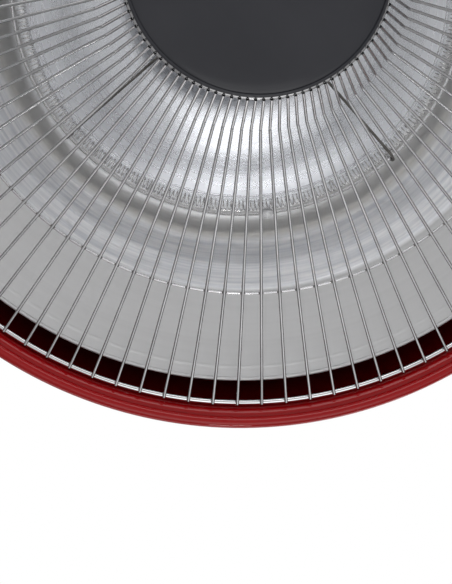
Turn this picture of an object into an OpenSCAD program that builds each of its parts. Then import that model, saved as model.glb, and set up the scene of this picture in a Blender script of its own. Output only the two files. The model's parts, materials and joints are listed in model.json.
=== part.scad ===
// Hanging halogen patio heater: a round painted dome that hangs open side down, with a ring
// lamp under a spun reflector, a wire guard across the mouth and a vented cap on top.
// Heights inside the modules are counted from the plane of the guard's outer ring, which is
// mouth level; hung() then drops each piece so that the origin is the centre of the hanging eye.
// The mouth looks down, -Y is the front and the lamp's legs and the cable gland are at the back.

/* [Dome] */
// Diameter over the rolled rim
rim_d = 422; // [400:1:460]
// Height of the dome's flat top above mouth level
dome_h = 84; // [78:1:110]
// Thickness of the dome sheet
skin_t = 1.2; // [1:0.1:1.6]
// Diameter of the rolled bead at the rim
bead_d = 5.4; // [4.8:0.2:7]
// Sideways reach of the flare between the skirt and the bead
flare_w = 6.3; // [5.5:0.1:9]
// Diameter of the flat top
flat_d = 150; // [144:1:170]
// Height of the straight skirt
skirt_h = 14; // [12:1:20]

/* [Reflector] */
// Gap between the reflector's edge and the dome's skirt
reflector_gap = 11.8; // [10:0.1:16]
// Thickness of the reflector sheet
reflector_t = 0.8; // [0.6:0.1:1.2]
// Height of the reflector's edge above mouth level
reflector_edge_z = 4; // [3.5:0.5:8]
// Rise of the satin outer band towards the trough
band_rise = 3; // [2:0.5:6]
// Inner diameter of the satin outer band
band_d = 292; // [270:1:310]
// Height of the trough above mouth level
trough_z = 40; // [36:1:46]
// Height of the flat centre above mouth level
centre_z = 24; // [20:1:28]
// Diameter of the flat centre
centre_d = 108; // [104:1:120]

/* [Heat shield] */
// Diameter of the shield plate
shield_d = 180; // [150:1:188]
// Thickness of the shield plate
shield_t = 0.8; // [0.6:0.1:1.2]
// Height of the shield's underside above mouth level
shield_z = 54; // [50:1:60]
// Turned-up edge of the shield
shield_edge = 5; // [3:0.5:7]
// Radius on which the four tie bolts stand
tie_r = 42; // [40:1:44]
// Diameter of a tie bolt
tie_d = 5; // [4:0.5:6]
// Outer diameter of the spacer tubes
spacer_d = 9; // [8:0.5:10]

/* [Lamp] */
// Diameter of the lamp ring, through the middle of the glass tube
lamp_ring_d = 211; // [200:1:220]
// Outer diameter of the glass tube
glass_d = 10; // [9:0.5:11]
// Wall of the glass tube
glass_t = 1; // [0.8:0.1:1.2]
// Height of the tube's middle above mouth level
lamp_z = 12; // [10:1:16]
// Radius of the bend from the ring to a leg
leg_bend = 12; // [10:1:15]
// Distance of each leg from the middle plane
leg_x = 10; // [9:0.5:13]
// Outer diameter of the filament coil
coil_d = 5.4; // [4:0.2:5.8]
// Diameter of the filament's own coiled wire
filament_d = 0.9; // [0.6:0.1:1]
// Number of curls in the filament coil
curls = 90; // [40:1:96]
// Wire diameter of the lamp hooks
hook_wire_d = 1.4; // [1.2:0.1:2]
// Diameter of the plate that carries the hooks
hook_plate_d = 56; // [50:1:64]
// Thickness of the plate that carries the hooks
hook_plate_t = 1.5; // [1:0.1:2]

/* [Guard] */
// Wire diameter of the outer ring
ring_wire_d = 2.5; // [2:0.1:3.5]
// Gap between the outer ring and the dome's skirt
ring_gap = 0.55; // [0.4:0.05:1]
// Diameter of a radial wire
wire_d = 1.5; // [1.2:0.1:1.8]
// Number of radial wires
wires = 108; // [84:12:120]
// Slope of the guard's shallow cone, in degrees
guard_slope = 16.8; // [12:0.2:19]
// Diameter of the middle ring
mid_ring_d = 296; // [260:1:330]
// Wire diameter of the middle ring
mid_wire_d = 1.2; // [1:0.1:1.6]
// Diameter of the circle on which the wires bend
bend_d = 147.6; // [140:0.2:156]
// Diameter of the circle on which the wires meet the hub ring
hub_d = 125; // [118:0.5:130]
// Drop of the wires from the bend to the hub ring
hub_drop = 15.6; // [12:0.2:20]
// Wire diameter of the hub ring
hub_wire_d = 2.5; // [2:0.1:3]

/* [Guard cap] */
// Thickness of the guard cap and of its plate
cap_t = 1.2; // [1:0.1:1.6]
// Bulge of the guard cap at its middle
cap_bulge = 4; // [3:0.5:6]
// Diameter of the guard cap's rolled edge
cap_edge_d = 2.2; // [1.8:0.1:2.4]
// Radius on which the guard cap's screws stand
cap_screw_r = 36; // [30:1:44]

/* [Clamps] */
// Width of a clamp between two wires
clamp_w = 7; // [6:0.5:7.5]
// Thickness of a clamp and of its bracket
clamp_t = 1.5; // [1.2:0.1:1.8]
// Distance from the skirt's inside to the clamp screw
clamp_reach = 6.4; // [6:0.1:7]
// Thread diameter of a clamp screw
clamp_screw_d = 3; // [2.5:0.5:3.5]

/* [Top cap] */
// Diameter of the top cap at its foot
cover_d = 132; // [128:1:140]
// Diameter of the top cap at its top
cover_top_d = 108; // [104:1:120]
// Height of the top cap
cover_h = 47; // [45:1:60]
// Wall of the top cap
cover_t = 2.5; // [2:0.1:3]
// Radius of the top cap's upper edge
cover_round = 8; // [5:0.5:10]
// Thickness of the gasket under the top cap
gasket_t = 1.5; // [1:0.1:3]
// Number of vent slots on each side of the top cap
vents = 7; // [4:1:8]
// Width of a vent slot
vent_w = 3; // [2:0.5:4]
// Height of a vent slot
vent_h = 16; // [10:1:18]
// Distance from the foot of the top cap's side in to its screws
boss_in = 11; // [10:0.5:13]
// Diameter of a top cap screw
boss_screw_d = 4; // [3:0.5:4.5]

/* [Electrics] */
// Width of the switch frame
switch_w = 26; // [24:1:30]
// Height of the switch frame
switch_h = 17; // [15:1:20]
// Depth of the switch body
switch_deep = 16; // [14:1:18]
// Turn of the rocker from off to on, in degrees
rocker_turn = 14; // [8:1:16]
// Length of the terminal block
block_l = 42; // [30:2:44]
// Diameter of the thermal cut-out
cutout_d = 16; // [14:1:17]
// Diameter of the cable gland's thread
gland_d = 16; // [15:1:18]
// Diameter of the gland's cable hole
cable_hole_d = 7; // [5:0.5:8]
// Diameter of the inner wires over their sleeves
lead_d = 2.4; // [2:0.1:2.6]

/* [Hanging] */
// Diameter of the threaded hanging rod
rod_d = 10; // [8:1:12]
// Diameter of the clevis pin
pin_d = 8; // [6:0.5:10]
// Thickness of the hanging eye
eye_t = 6.6; // [5:0.2:8]
// Diameter of the hole in the hanging eye
eye_hole_d = 20; // [16:1:24]
// Width of metal round the hole in the hanging eye
eye_wall = 7; // [6:0.5:9]
// Distance from the clevis pin to the middle of the eye's hole
eye_l = 27; // [26:1:34]
// Thickness of each cheek of the clevis
cheek_t = 5; // [4:0.5:7]

/* [Fits] */
// Gap between pieces that stand beside each other
side_gap = 0.3; // [0.2:0.05:0.5]
// Radial gap between a pin that turns and its hole
run_gap = 0.05; // [0.03:0.01:0.08]
// Radial gap between a screw and the hole it passes
screw_gap = 0.3; // [0.2:0.05:0.5]
// Gap between a bracket and the skirt that it is spot-welded to
weld_gap = 0.05; // [0.03:0.01:0.1]

/* [Hidden] */
$fn = 96;
eps = 0.01;
knuckle = 1.1;

// Dome
rim_r = rim_d / 2;
bead_r = bead_d / 2;
bead_c = rim_r - bead_r;
skirt_r = bead_c - flare_w;
skirt_in = skirt_r - skin_t;
flare_z = 2.1;
bead_z = flare_z - flare_w + (bead_r + skin_t * (1 - sqrt(2) / 2)) * 0.7;
flat_r = flat_d / 2;
dome_in_z = dome_h - skin_t;
arc_steps = 28;
seam_a = 7;

// Guard
ring_r = skirt_in - ring_gap - ring_wire_d / 2;
slope_dir = [cos(guard_slope), sin(guard_slope)];
slope_down = [sin(guard_slope), -cos(guard_slope)];
wire_touch = [ring_r, 0] + slope_down * (ring_wire_d + wire_d) / 2;
wire_over = 1.4;
wire_out = wire_touch + slope_dir * wire_over;
wire_bend = on_slope(bend_d / 2);
wire_hub = [hub_d / 2, wire_bend[1] - hub_drop];
hub_dir = (wire_hub - wire_bend) / norm(wire_hub - wire_bend);
hub_in = [hub_dir[1], -hub_dir[0]];
wire_end = wire_hub + hub_dir * wire_over / 2;
hub_c = wire_hub + hub_in * (wire_d + hub_wire_d) / 2;
mid_c = on_slope(mid_ring_d / 2) - slope_down * (wire_d + mid_wire_d) / 2;
wire_pitch = 360 / wires;
wire_a0 = -92.4;
cap_top_z = hub_c[1] - hub_wire_d / 2;
cap_r = hub_c[0] + 0.2;
cap_plate_z = hub_c[1] + hub_wire_d / 2;

// Clamps stand half way between two wires
clamps = 4;
clamp_a0 = wire_a0 + (floor(wires / 8) + 0.5) * wire_pitch;
clamp_r = skirt_in - clamp_reach;
clamp_foot_z = ring_wire_d / 2;
clamp_edge = 2.2;
clamp_in = clamp_r - clamp_screw_d / 2 - clamp_edge;
clamp_z = -ring_wire_d / 2 - clamp_t;

// Reflector
reflector_r = skirt_in - reflector_gap;
edge_bead_r = 1;
band_z = reflector_edge_z + band_rise;
lamp_r = lamp_ring_d / 2;

// Lamp
glass_r = glass_d / 2;
leg_reach = leg_x + leg_bend;
leg_angle = asin(leg_reach / lamp_r);
leg_y = lamp_r * cos(leg_angle) + leg_bend * sin(leg_angle);
leg_foot_x = lamp_r * sin(leg_angle) - leg_bend * cos(leg_angle);
leg_top_z = trough_z + 14;
seal_h = 8;
end_cap_h = 12;
bushing_neck_l = 6;
bushing_lip_t = 4;
hook_a0 = -131.6;
tip_a = -96.4;
tip_d = 3.4;
tip_h = 1.7;
hook_z = lamp_z - glass_r - hook_wire_d / 2;
hook_plate_z = centre_z - hook_plate_t;

// Top
top_z = dome_h;
cover_z = top_z + gasket_t;
cover_top_z = cover_z + cover_h;
washer_t = 1.6;
nut_h = 5;
clevis_z = cover_top_z + washer_t;
clevis_base_h = 8;
socket_floor = 1;
screw_over = 1.5;
pin_z = clevis_z + clevis_base_h + pin_d / 2 + 7.5;
hang_z = pin_z + eye_l;
eye_r = eye_hole_d / 2 + eye_wall;
foot_r = pin_d / 2 + 5.5;
cheek_gap = eye_t + 2 * side_gap;

function on_slope(r) = [r, wire_touch[1] - (wire_touch[0] - r) * tan(guard_slope)];
function reverse(p) = [for (i = [len(p) - 1:-1:0]) p[i]];
function left_of(a, b) = [a[1] - b[1], b[0] - a[0]] / norm(b - a);
function mitre(p, i) =
    i == 0 ? left_of(p[0], p[1]) :
    i == len(p) - 1 ? left_of(p[i - 1], p[i]) :
    let (a = left_of(p[i - 1], p[i]), b = left_of(p[i], p[i + 1])) (a + b) / (1 + a * b);
// A sheet of thickness t to the left of a line of points
function sheet(p, t) = concat(p, reverse([for (i = [0:len(p) - 1]) p[i] + mitre(p, i) * t]));
// A smooth step from a to b while r goes from r0 to r1
function ease(r0, r1, a, b, n) =
    [for (i = [1:n]) [r0 + (r1 - r0) * i / n, a + (b - a) * (1 - cos(180 * i / n)) / 2]];

module hung() { translate([0, 0, -hang_z]) children(); }
module spun(p) { rotate_extrude($fn = 180) polygon(p); }
module wire_ring(r, z, d) {
    translate([0, 0, z]) rotate_extrude($fn = 180) translate([r, 0]) circle(d = d, $fn = 24);
}
module around(n, a0 = 0) { for (i = [0:n - 1]) rotate([0, 0, a0 + i * 360 / n]) children(); }
// A straight round rod from one point to another
module rod(a, b, d) {
    v = b - a;
    translate(a) rotate([0, acos(v[2] / norm(v)), atan2(v[1], v[0])]) cylinder(h = norm(v), d = d, $fn = 24);
}
// Rods along a line of points, with a round joint a little proud of the rods at each bend
module rods(p, d) {
    for (i = [0:len(p) - 2]) rod(p[i], p[i + 1], d);
    for (i = [1:len(p) - 2]) translate(p[i]) sphere(d = d * knuckle, $fn = 24);
}
// A screw pointing up, its head below the plane it bears on
module pan_screw(d, l, head = 1.8) {
    translate([0, 0, -0.6 * d]) cylinder(h = 0.6 * d, d = head * d);
    translate([0, 0, -eps]) cylinder(h = l + eps, d = d);
}
module tie_holes(h) { around(4) translate([tie_r, 0]) cylinder(h = h, d = tie_d + 2 * screw_gap); }
module hex_nut(d, af, h) {
    difference() {
        cylinder(h = h, d = af / cos(30), $fn = 6);
        translate([0, 0, -1]) cylinder(h = h + 2, d = d);
    }
}

// Dome
function dome_line() = concat(
    [[rod_d / 2 + screw_gap, dome_h]],
    [for (i = [0:arc_steps]) let (a = 90 * i / arc_steps)
        [flat_r + (skirt_r - flat_r) * sin(a), skirt_h + (dome_h - skirt_h) * cos(a)]],
    [[skirt_r, flare_z], [skirt_r + flare_w - bead_r * 0.3, flare_z - flare_w + bead_r * 0.3]]);
module dome_top_holes() {
    translate([0, 0, dome_in_z - 1]) {
        tie_holes(skin_t + 2);
        around(4, 45) translate([boss_r, 0]) cylinder(h = skin_t + 2, d = boss_screw_d + 2 * screw_gap);
        translate([0, grommet_y]) cylinder(h = skin_t + 2, d = grommet_hole_d);
        translate([0, earth_y]) cylinder(h = skin_t + 2, d = earth_d + 2 * screw_gap);
        for (s = [-1, 1]) translate([cutout_x, s * cutout_ear]) cylinder(h = skin_t + 2, d = small_screw_d);
    }
}
module dome_shell() {
    hung() color("firebrick") difference() {
        union() {
            rotate([0, 0, seam_a]) spun(sheet(reverse(dome_line()), skin_t));
            rotate([0, 0, seam_a]) wire_ring(bead_c, bead_z, bead_d);
        }
        dome_top_holes();
    }
}
// Each bracket is an angle spot-welded inside the skirt; its foot is the seat of the guard ring
module bracket_ring(r0, r1, z, h) {
    intersection() {
        translate([r0 - clamp_w, -clamp_w / 2, z]) cube([r1 - r0 + 2 * clamp_w, clamp_w, h]);
        translate([0, 0, z - 1]) difference() {
            cylinder(h = h + 2, r = r1, $fn = 180);
            translate([0, 0, -1]) cylinder(h = h + 4, r = r0, $fn = 180);
        }
    }
}
module clamp_brackets() {
    leg_h = 9;
    back_r = skirt_in - weld_gap;
    hung() color("dimgray") around(clamps, clamp_a0) difference() {
        union() {
            bracket_ring(clamp_in, back_r, clamp_foot_z, clamp_t);
            bracket_ring(back_r - clamp_t, back_r, clamp_foot_z, leg_h);
        }
        translate([clamp_r, 0, 0]) cylinder(h = 10, d = clamp_screw_d + 2 * run_gap);
    }
}

// Reflector and heat shield
function reflector_line() = concat(
    [[hook_bolt_d / 2 + screw_gap, centre_z], [centre_d / 2, centre_z]],
    ease(centre_d / 2, lamp_r, centre_z, trough_z, 14),
    ease(lamp_r, band_d / 2, trough_z, band_z, 14),
    [[reflector_r - edge_bead_r - 2, reflector_edge_z], [reflector_r - edge_bead_r, reflector_edge_z]]);
module reflector() {
    hung() color("gainsboro") difference() {
        union() {
            spun(sheet(reflector_line(), reflector_t));
            wire_ring(reflector_r - edge_bead_r, reflector_edge_z + reflector_t / 2, 2 * edge_bead_r);
        }
        translate([0, 0, centre_z - 1]) tie_holes(reflector_t + 2);
        at_legs() translate([0, 0, trough_z - 12]) cylinder(h = 24, d = bushing_neck_d + 2 * side_gap);
    }
}
module heat_shield() {
    hung() color("silver") difference() {
        spun(sheet([[rod_d, shield_z], [shield_d / 2, shield_z],
            [shield_d / 2, shield_z + shield_edge]], shield_t));
        translate([0, 0, shield_z - 1]) tie_holes(shield_t + 2);
    }
}
module spacer_tubes(z0, z1) {
    around(4) translate([tie_r, 0, z0]) difference() {
        cylinder(h = z1 - z0, d = spacer_d);
        translate([0, 0, -1]) cylinder(h = z1 - z0 + 2, d = tie_d + 2 * screw_gap);
    }
}
module lower_spacers() { hung() color("lightgray") spacer_tubes(centre_z + reflector_t, shield_z); }
module upper_spacers() { hung() color("lightgray") spacer_tubes(shield_z + shield_t, dome_in_z); }
module tie_bolts() {
    hung() color("silver") around(4) translate([tie_r, 0, centre_z])
        pan_screw(tie_d, dome_h + 0.8 * tie_d + screw_over - centre_z);
}
module tie_nuts() {
    hung() color("silver") around(4) translate([tie_r, 0, dome_h]) hex_nut(tie_d, 1.6 * tie_d, 0.8 * tie_d);
}

// Lamp
grommet_y = 27;
grommet_hole_d = 10;
bushing_neck_d = glass_d + 4;
hook_bolt_d = 4;
module glass_wall() {
    difference() {
        circle(r = glass_r, $fn = 48);
        circle(r = glass_r - glass_t, $fn = 48);
    }
}
// A hollow bead of glass round a joint, a little proud of the wall outside and inside
module glass_bead() {
    proud = 0.2;
    difference() {
        cylinder(h = 1.6, r = glass_r + proud, center = true);
        cylinder(h = 2, r = glass_r - glass_t - proud, center = true);
    }
}
// The glass runs round the ring, up a bend at each end and up two legs, each closed by a solid seal.
// A bead of glass joins each bend to the ring and to its leg; the ring keeps its filling tube's tip
module lamp_tube() {
    leg_z = lamp_z + leg_bend;
    joint = 0.3;
    hung() color([0.9, 0.93, 0.96, 0.5]) {
        rotate([0, 0, tip_a]) translate([lamp_r + glass_r - glass_t / 2, 0, lamp_z - 1]) rotate([0, 90, 0])
            cylinder(h = glass_t / 2 + tip_h, d1 = tip_d, d2 = tip_d / 3);
        translate([0, 0, lamp_z]) rotate([0, 0, 90 + leg_angle])
            rotate_extrude(angle = 360 - 2 * leg_angle, $fn = 180) translate([lamp_r, 0]) glass_wall();
        for (s = [0, 1]) mirror([s, 0, 0]) {
            translate([-lamp_r * sin(leg_angle), lamp_r * cos(leg_angle), leg_z]) rotate([0, 0, leg_angle])
                rotate([90, 0, 0]) rotate([0, 0, -90])
                rotate_extrude(angle = 90, $fn = 96) translate([leg_bend, 0]) glass_wall();
            translate([-lamp_r * sin(leg_angle), lamp_r * cos(leg_angle), lamp_z]) rotate([0, 0, leg_angle])
                rotate([0, 90, 0]) glass_bead();
            translate([-leg_foot_x, leg_y, leg_z + joint / 2]) glass_bead();
            translate([-leg_foot_x, leg_y, leg_z + joint])
                linear_extrude(height = leg_top_z - seal_h - leg_z - joint) glass_wall();
            translate([-leg_foot_x, leg_y, leg_top_z - seal_h]) cylinder(h = seal_h, r = glass_r, $fn = 48);
        }
    }
}
coil_r = (coil_d - filament_d) / 2;
curl_rings = 8;
filament_sides = 6;
coil_margin = 3;
coil_a0 = 90 + leg_angle + coil_margin;
coil_span = 360 - 2 * (leg_angle + coil_margin);
coil_n = curls * curl_rings;
function out_at(a) = [cos(a), sin(a), 0];
// The coil opens out of the straight tail over its first curl and closes again over its last
function coil_open(i) = min(1, i / curl_rings, (coil_n - i) / curl_rings);
function coil_side(i) = let (a = coil_a0 + coil_span * i / coil_n, t = 360 * i / curl_rings)
    out_at(a) * cos(t) + [0, 0, sin(t)];
function coil_point(i) = let (a = coil_a0 + coil_span * i / coil_n)
    out_at(a) * lamp_r + [0, 0, lamp_z] + coil_side(i) * coil_r * coil_open(i);
// The tail runs round the bend and up the leg to the seal; s is -1 at the coil's start, 1 at its end
function tail_point(s, u) = let (side = out_at(90 - s * leg_angle), go = [-s * side[1], s * side[0], 0])
    side * lamp_r + go * leg_bend * sin(u) + [0, 0, lamp_z + leg_bend * (1 - cos(u))];
function tail(s) = concat([for (u = [0, 22.5, 45, 67.5, 90]) tail_point(s, u)],
    [tail_point(s, 90) + [0, 0, leg_top_z - seal_h - lamp_z - leg_bend - eps]]);
tail_n = 6;
filament_line = concat(reverse(tail(-1)), [for (i = [0:coil_n]) coil_point(i)], tail(1));
function filament_side(k) =
    k < tail_n ? out_at(90 + leg_angle) :
    k > tail_n + coil_n ? out_at(90 - leg_angle) :
    coil_side(k - tail_n);
function tangent(p, k) = let (a = p[max(0, k - 1)], b = p[min(len(p) - 1, k + 1)]) (b - a) / norm(b - a);
function ring_at(p, k) =
    let (t = tangent(p, k), n0 = filament_side(k), n1 = n0 - t * (n0 * t), n = n1 / norm(n1), b = cross(t, n))
    [for (j = [0:filament_sides - 1]) let (a = 360 * j / filament_sides)
        p[k] + (n * cos(a) + b * sin(a)) * filament_d / 2];
module swept_filament(p) {
    m = filament_sides;
    last = (len(p) - 1) * m;
    points = [for (k = [0:len(p) - 1]) each ring_at(p, k)];
    walls = [for (k = [0:len(p) - 2]) for (j = [0:m - 1]) let (a = k * m + j, b = k * m + (j + 1) % m)
        each [[a, a + m, b], [b, a + m, b + m]]];
    ends = [for (j = [1:m - 2]) each [[0, j, j + 1], [last, last + j + 1, last + j]]];
    polyhedron(points = points, faces = concat(walls, ends));
}
coil_gap = min([for (i = [curl_rings:coil_n - 2 * curl_rings]) for (d = [curl_rings - 2:curl_rings + 2])
    norm(coil_point(i + d) - coil_point(i))]) - filament_d;
echo("least gap of the filament to itself, mm", coil_gap);
module lamp_filament() { hung() color("dimgray") swept_filament(filament_line); }
module at_legs() { for (s = [-1, 1]) translate([s * leg_foot_x, leg_y, 0]) children(); }
module lamp_end_caps() {
    hung() color("ivory") at_legs() translate([0, 0, leg_top_z - 4]) difference() {
        cylinder(h = end_cap_h, d = glass_d + 5);
        translate([0, 0, -1]) cylinder(h = 5, d = glass_d + 2 * run_gap);
        translate([0, 0, -1]) cylinder(h = end_cap_h + 2, d = lead_d);
    }
}
// A ceramic bush in the reflector's hole round each leg, with a flange above the sheet
module lamp_bushings() {
    hung() color("ivory") at_legs() difference() {
        union() {
            translate([0, 0, bushing_z - bushing_neck_l])
                cylinder(h = bushing_neck_l + eps, d = bushing_neck_d);
            translate([0, 0, bushing_z]) cylinder(h = bushing_lip_t, d = bushing_neck_d + 5);
        }
        translate([0, 0, bushing_z - 2 * bushing_neck_l])
            cylinder(h = 4 * bushing_neck_l, d = glass_d + 2 * side_gap);
    }
}
bushing_z = trough_z + reflector_t;
module lamp_hooks() {
    far = lamp_r;
    foot = hook_plate_d / 2;
    weld_z = hook_plate_z - hook_wire_d * knuckle / 2;
    hook_turn = 200;
    hung() color("dimgray") around(4, hook_a0) {
        rods([[10, 0, weld_z], [foot - 3, 0, weld_z], [foot + 6, 0, hook_z], [far, 0, hook_z]], hook_wire_d);
        translate([far, 0, lamp_z]) rotate([90, 0, 0]) rotate([0, 0, -90])
            rotate_extrude(angle = hook_turn, $fn = 72)
            translate([glass_r + hook_wire_d / 2, 0]) circle(d = hook_wire_d, $fn = 24);
    }
}
module hook_plate() {
    hung() color("silver") translate([0, 0, hook_plate_z]) difference() {
        cylinder(h = hook_plate_t, d = hook_plate_d);
        translate([0, 0, -1]) cylinder(h = hook_plate_t + 2, d = hook_bolt_d + 2 * screw_gap);
    }
}
module hook_plate_screw() {
    hung() color("silver") translate([0, 0, hook_plate_z])
        pan_screw(hook_bolt_d, hook_plate_t + reflector_t + 0.8 * hook_bolt_d + screw_over, 2);
}
module hook_plate_nut() {
    hung() color("silver") translate([0, 0, centre_z + reflector_t])
        hex_nut(hook_bolt_d, 1.75 * hook_bolt_d, 0.8 * hook_bolt_d);
}
lead_z = shield_z + 14;
lead_x = 2.2;
lead_end = 6;
module lamp_leads() {
    hung() color("linen") for (s = [-1, 1])
        rods([[s * leg_foot_x, leg_y, leg_top_z + 1], [s * leg_foot_x, leg_y, lead_z + 6],
            [s * leg_foot_x, tie_r - 4, lead_z], [s * lead_x, grommet_y, lead_z + 6],
            [s * lead_x, grommet_y, top_z + lead_end]], lead_d);
}
module lead_grommet() {
    lip = 1.6;
    hung() color("black") translate([0, grommet_y, 0]) difference() {
        union() {
            translate([0, 0, dome_in_z - lip])
                cylinder(h = skin_t + 2 * lip, d = grommet_hole_d - 2 * run_gap);
            translate([0, 0, dome_in_z - lip]) cylinder(h = lip, d = grommet_hole_d + 4);
            translate([0, 0, dome_h]) cylinder(h = lip, d = grommet_hole_d + 4);
        }
        for (s = [-1, 1]) translate([s * lead_x, 0, dome_in_z - 5]) cylinder(h = 12, d = lead_d);
    }
}

// Guard
module guard_outer_ring() { hung() color("lightgray") wire_ring(ring_r, 0, ring_wire_d); }
module guard_middle_ring() { hung() color("lightgray") wire_ring(mid_c[0], mid_c[1], mid_wire_d); }
module guard_hub_ring() { hung() color("lightgray") wire_ring(hub_c[0], hub_c[1], hub_wire_d); }
function flat_point(p) = [p[0], 0, p[1]];
module guard_wires() {
    hung() color("silver") around(wires, wire_a0)
        rods([flat_point(wire_out), flat_point(wire_bend), flat_point(wire_end)], wire_d);
}
// The cap's shallow bowl from its edge to its middle, as seen from below
function cap_line(z) =
    [for (i = [0:10]) let (f = i / 10) [cap_turn_r * (1 - f), z - cap_bulge * sin(90 * f)]];
module at_cap_screws() { around(3, 30) translate([cap_screw_r, 0, 0]) children(); }
cap_boss_d = 7;
cap_screw_d = 3;
cap_screw_bite = 3.5;
cap_turn_r = cap_r - cap_edge_d / 2;
module guard_cap() {
    hung() color([0.22, 0.22, 0.25]) difference() {
        union() {
            spun(concat(reverse(cap_line(cap_top_z)), cap_line(cap_top_z - cap_t)));
            wire_ring(cap_turn_r, cap_top_z - cap_edge_d / 2, cap_edge_d);
            at_cap_screws() translate([0, 0, cap_top_z - cap_bulge])
                cylinder(h = cap_plate_z - cap_top_z + cap_bulge, d = cap_boss_d);
        }
        at_cap_screws() translate([0, 0, cap_plate_z - cap_screw_bite - 0.5])
            cylinder(h = cap_screw_bite + 1, d = cap_screw_d);
    }
}
module guard_cap_plate() {
    hung() color("gray") translate([0, 0, cap_plate_z]) difference() {
        cylinder(h = cap_t, r = hub_c[0] + 0.4, $fn = 180);
        translate([0, 0, -1]) cylinder(h = cap_t + 2, r = cap_screw_r * 2 / 3 - cap_boss_d / 2);
        at_cap_screws() translate([0, 0, -1]) cylinder(h = cap_t + 2, d = cap_screw_d + 2 * screw_gap);
    }
}
module guard_cap_screws() {
    hung() color("silver") at_cap_screws() translate([0, 0, cap_plate_z + cap_t])
        rotate([180, 0, 0]) pan_screw(cap_screw_d, cap_t + cap_screw_bite);
}
module guard_clamps() {
    clamp_out = ring_r + ring_wire_d / 2;
    step_out = ring_r - ring_wire_d / 2 - side_gap;
    lift = clamp_foot_z - clamp_z - clamp_t;
    hung() color("silver") around(clamps, clamp_a0) difference() {
        union() {
            translate([clamp_in, -clamp_w / 2, clamp_z]) cube([clamp_out - clamp_in, clamp_w, clamp_t]);
            translate([clamp_in, -clamp_w / 2, clamp_z + clamp_t - eps])
                cube([step_out - clamp_in, clamp_w, lift + eps]);
        }
        translate([clamp_r, 0, clamp_z - 1])
            cylinder(h = lift + clamp_t + 2, d = clamp_screw_d + 2 * run_gap);
    }
}
module guard_clamp_screws() {
    hung() color("silver") around(clamps, clamp_a0) translate([clamp_r, 0, clamp_z])
        pan_screw(clamp_screw_d, clamp_foot_z - clamp_z + clamp_t + screw_over);
}

// Top cap
cover_r = cover_d / 2;
cover_top_r = cover_top_d / 2;
cover_lean = atan((cover_r - cover_top_r) / cover_h);
boss_r = cover_r - boss_in;
boss_d = boss_screw_d + 5;
pad_w = switch_w + 4;
pad_h = switch_h + 4;
pad_up = 25;
pad_proud = 0.7;
pad_y = -cover_r + (pad_up - pad_h / 2) * tan(cover_lean) - pad_proud;
pad_z = cover_z + pad_up;
gland_z = cover_z + 21;
gland_y = cover_r - 1;
pilot_a = -52;
pilot_z = cover_z + 24;
pilot_d = 6;
pilot_pad = cover_r - (pilot_z - cover_z) * tan(cover_lean) + 1.6;
pad_deep = 12;
pilot_deep = 8;
module at_pilot() {
    rotate([0, 0, pilot_a]) translate([pilot_pad - pilot_deep, 0, pilot_z]) rotate([0, 90, 0]) children();
}
cover_ease = 2;
function cover_line() = concat([[cover_r, cover_z]],
    [for (i = [0:6]) let (a = i * 15) [cover_top_r - cover_round * (1 - cos(a)) + (1 - i / 6) * cover_ease,
        cover_top_z - cover_round + cover_round * sin(a)]],
    [[rod_d / 2 + screw_gap, cover_top_z]]);
boss_bite = 12;
vent_step = 8;
vent_z = 18;
barrel_w = switch_w - 6;
barrel_h = switch_h - 5;
boss_h = boss_bite + 4;
rib_t = 3;
vent_reach = 24;
// Each screw boss has a rib out to the cap's side
module cover_bosses() {
    around(4, 45) translate([boss_r, 0, cover_z]) {
        cylinder(h = boss_h, d = boss_d);
        translate([0, -rib_t / 2, 0]) cube([boss_in, rib_t, boss_h]);
    }
}
module cover_inside(t) {
    spun(concat([for (p = cover_line()) [max(0, p[0] - t), min(p[1], cover_top_z - t)]],
        [[0, cover_top_z - t], [0, cover_z - 1], [cover_r - t, cover_z - 1]]));
}
module top_cap() {
    hung() color([0.12, 0.12, 0.13]) difference() {
        union() {
            difference() {
                spun(concat(cover_line(), [[rod_d / 2 + screw_gap, cover_z], [cover_r, cover_z]]));
                cover_inside(cover_t);
            }
            // Flat pads for the switch in front, the pilot lamp beside it and the gland at the back
            difference() {
                union() {
                    translate([-pad_w / 2, pad_y, pad_z - pad_h / 2]) cube([pad_w, pad_deep, pad_h]);
                    translate([-gland_pad / 2, gland_y - pad_deep, gland_z - gland_pad / 2])
                        cube([gland_pad, pad_deep, gland_pad]);
                    at_pilot() cylinder(h = pilot_deep, d = pilot_d + 5);
                }
                cover_inside(cover_t);
            }
            intersection() {
                cover_bosses();
                cover_inside(cover_t / 2);
            }
        }
        around(4, 45) translate([boss_r, 0, cover_z - 1]) cylinder(h = boss_bite + 3, d = boss_screw_d);
        translate([-barrel_w / 2, pad_y - 1, pad_z - barrel_h / 2]) cube([barrel_w, pad_deep + 2, barrel_h]);
        translate([0, cover_r, gland_z]) rotate([90, 0, 0])
            cylinder(h = 2 * pad_deep, d = gland_d + 2 * run_gap);
        at_pilot() translate([0, 0, -pilot_deep]) cylinder(h = 3 * pilot_deep, d = pilot_d + 2 * run_gap);
        for (side = [0, 180]) for (i = [0:vents - 1]) rotate([0, 0, side + (i - (vents - 1) / 2) * vent_step])
            translate([cover_r - vent_reach, -vent_w / 2, cover_z + vent_z])
            cube([vent_reach + 1, vent_w, vent_h]);
    }
}
module top_cap_gasket() {
    hung() color([0.08, 0.08, 0.08]) translate([0, 0, top_z]) difference() {
        cylinder(h = gasket_t, r = cover_r - 0.5, $fn = 180);
        translate([0, 0, -1]) cylinder(h = gasket_t + 2, r = boss_r - boss_d / 2 - 1, $fn = 180);
        around(4, 45) translate([boss_r, 0, -1]) cylinder(h = gasket_t + 2, d = boss_screw_d + 2 * screw_gap);
    }
}
module top_cap_screws() {
    hung() color("silver") around(4, 45) translate([boss_r, 0, dome_in_z])
        pan_screw(boss_screw_d, skin_t + gasket_t + boss_bite);
}

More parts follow.
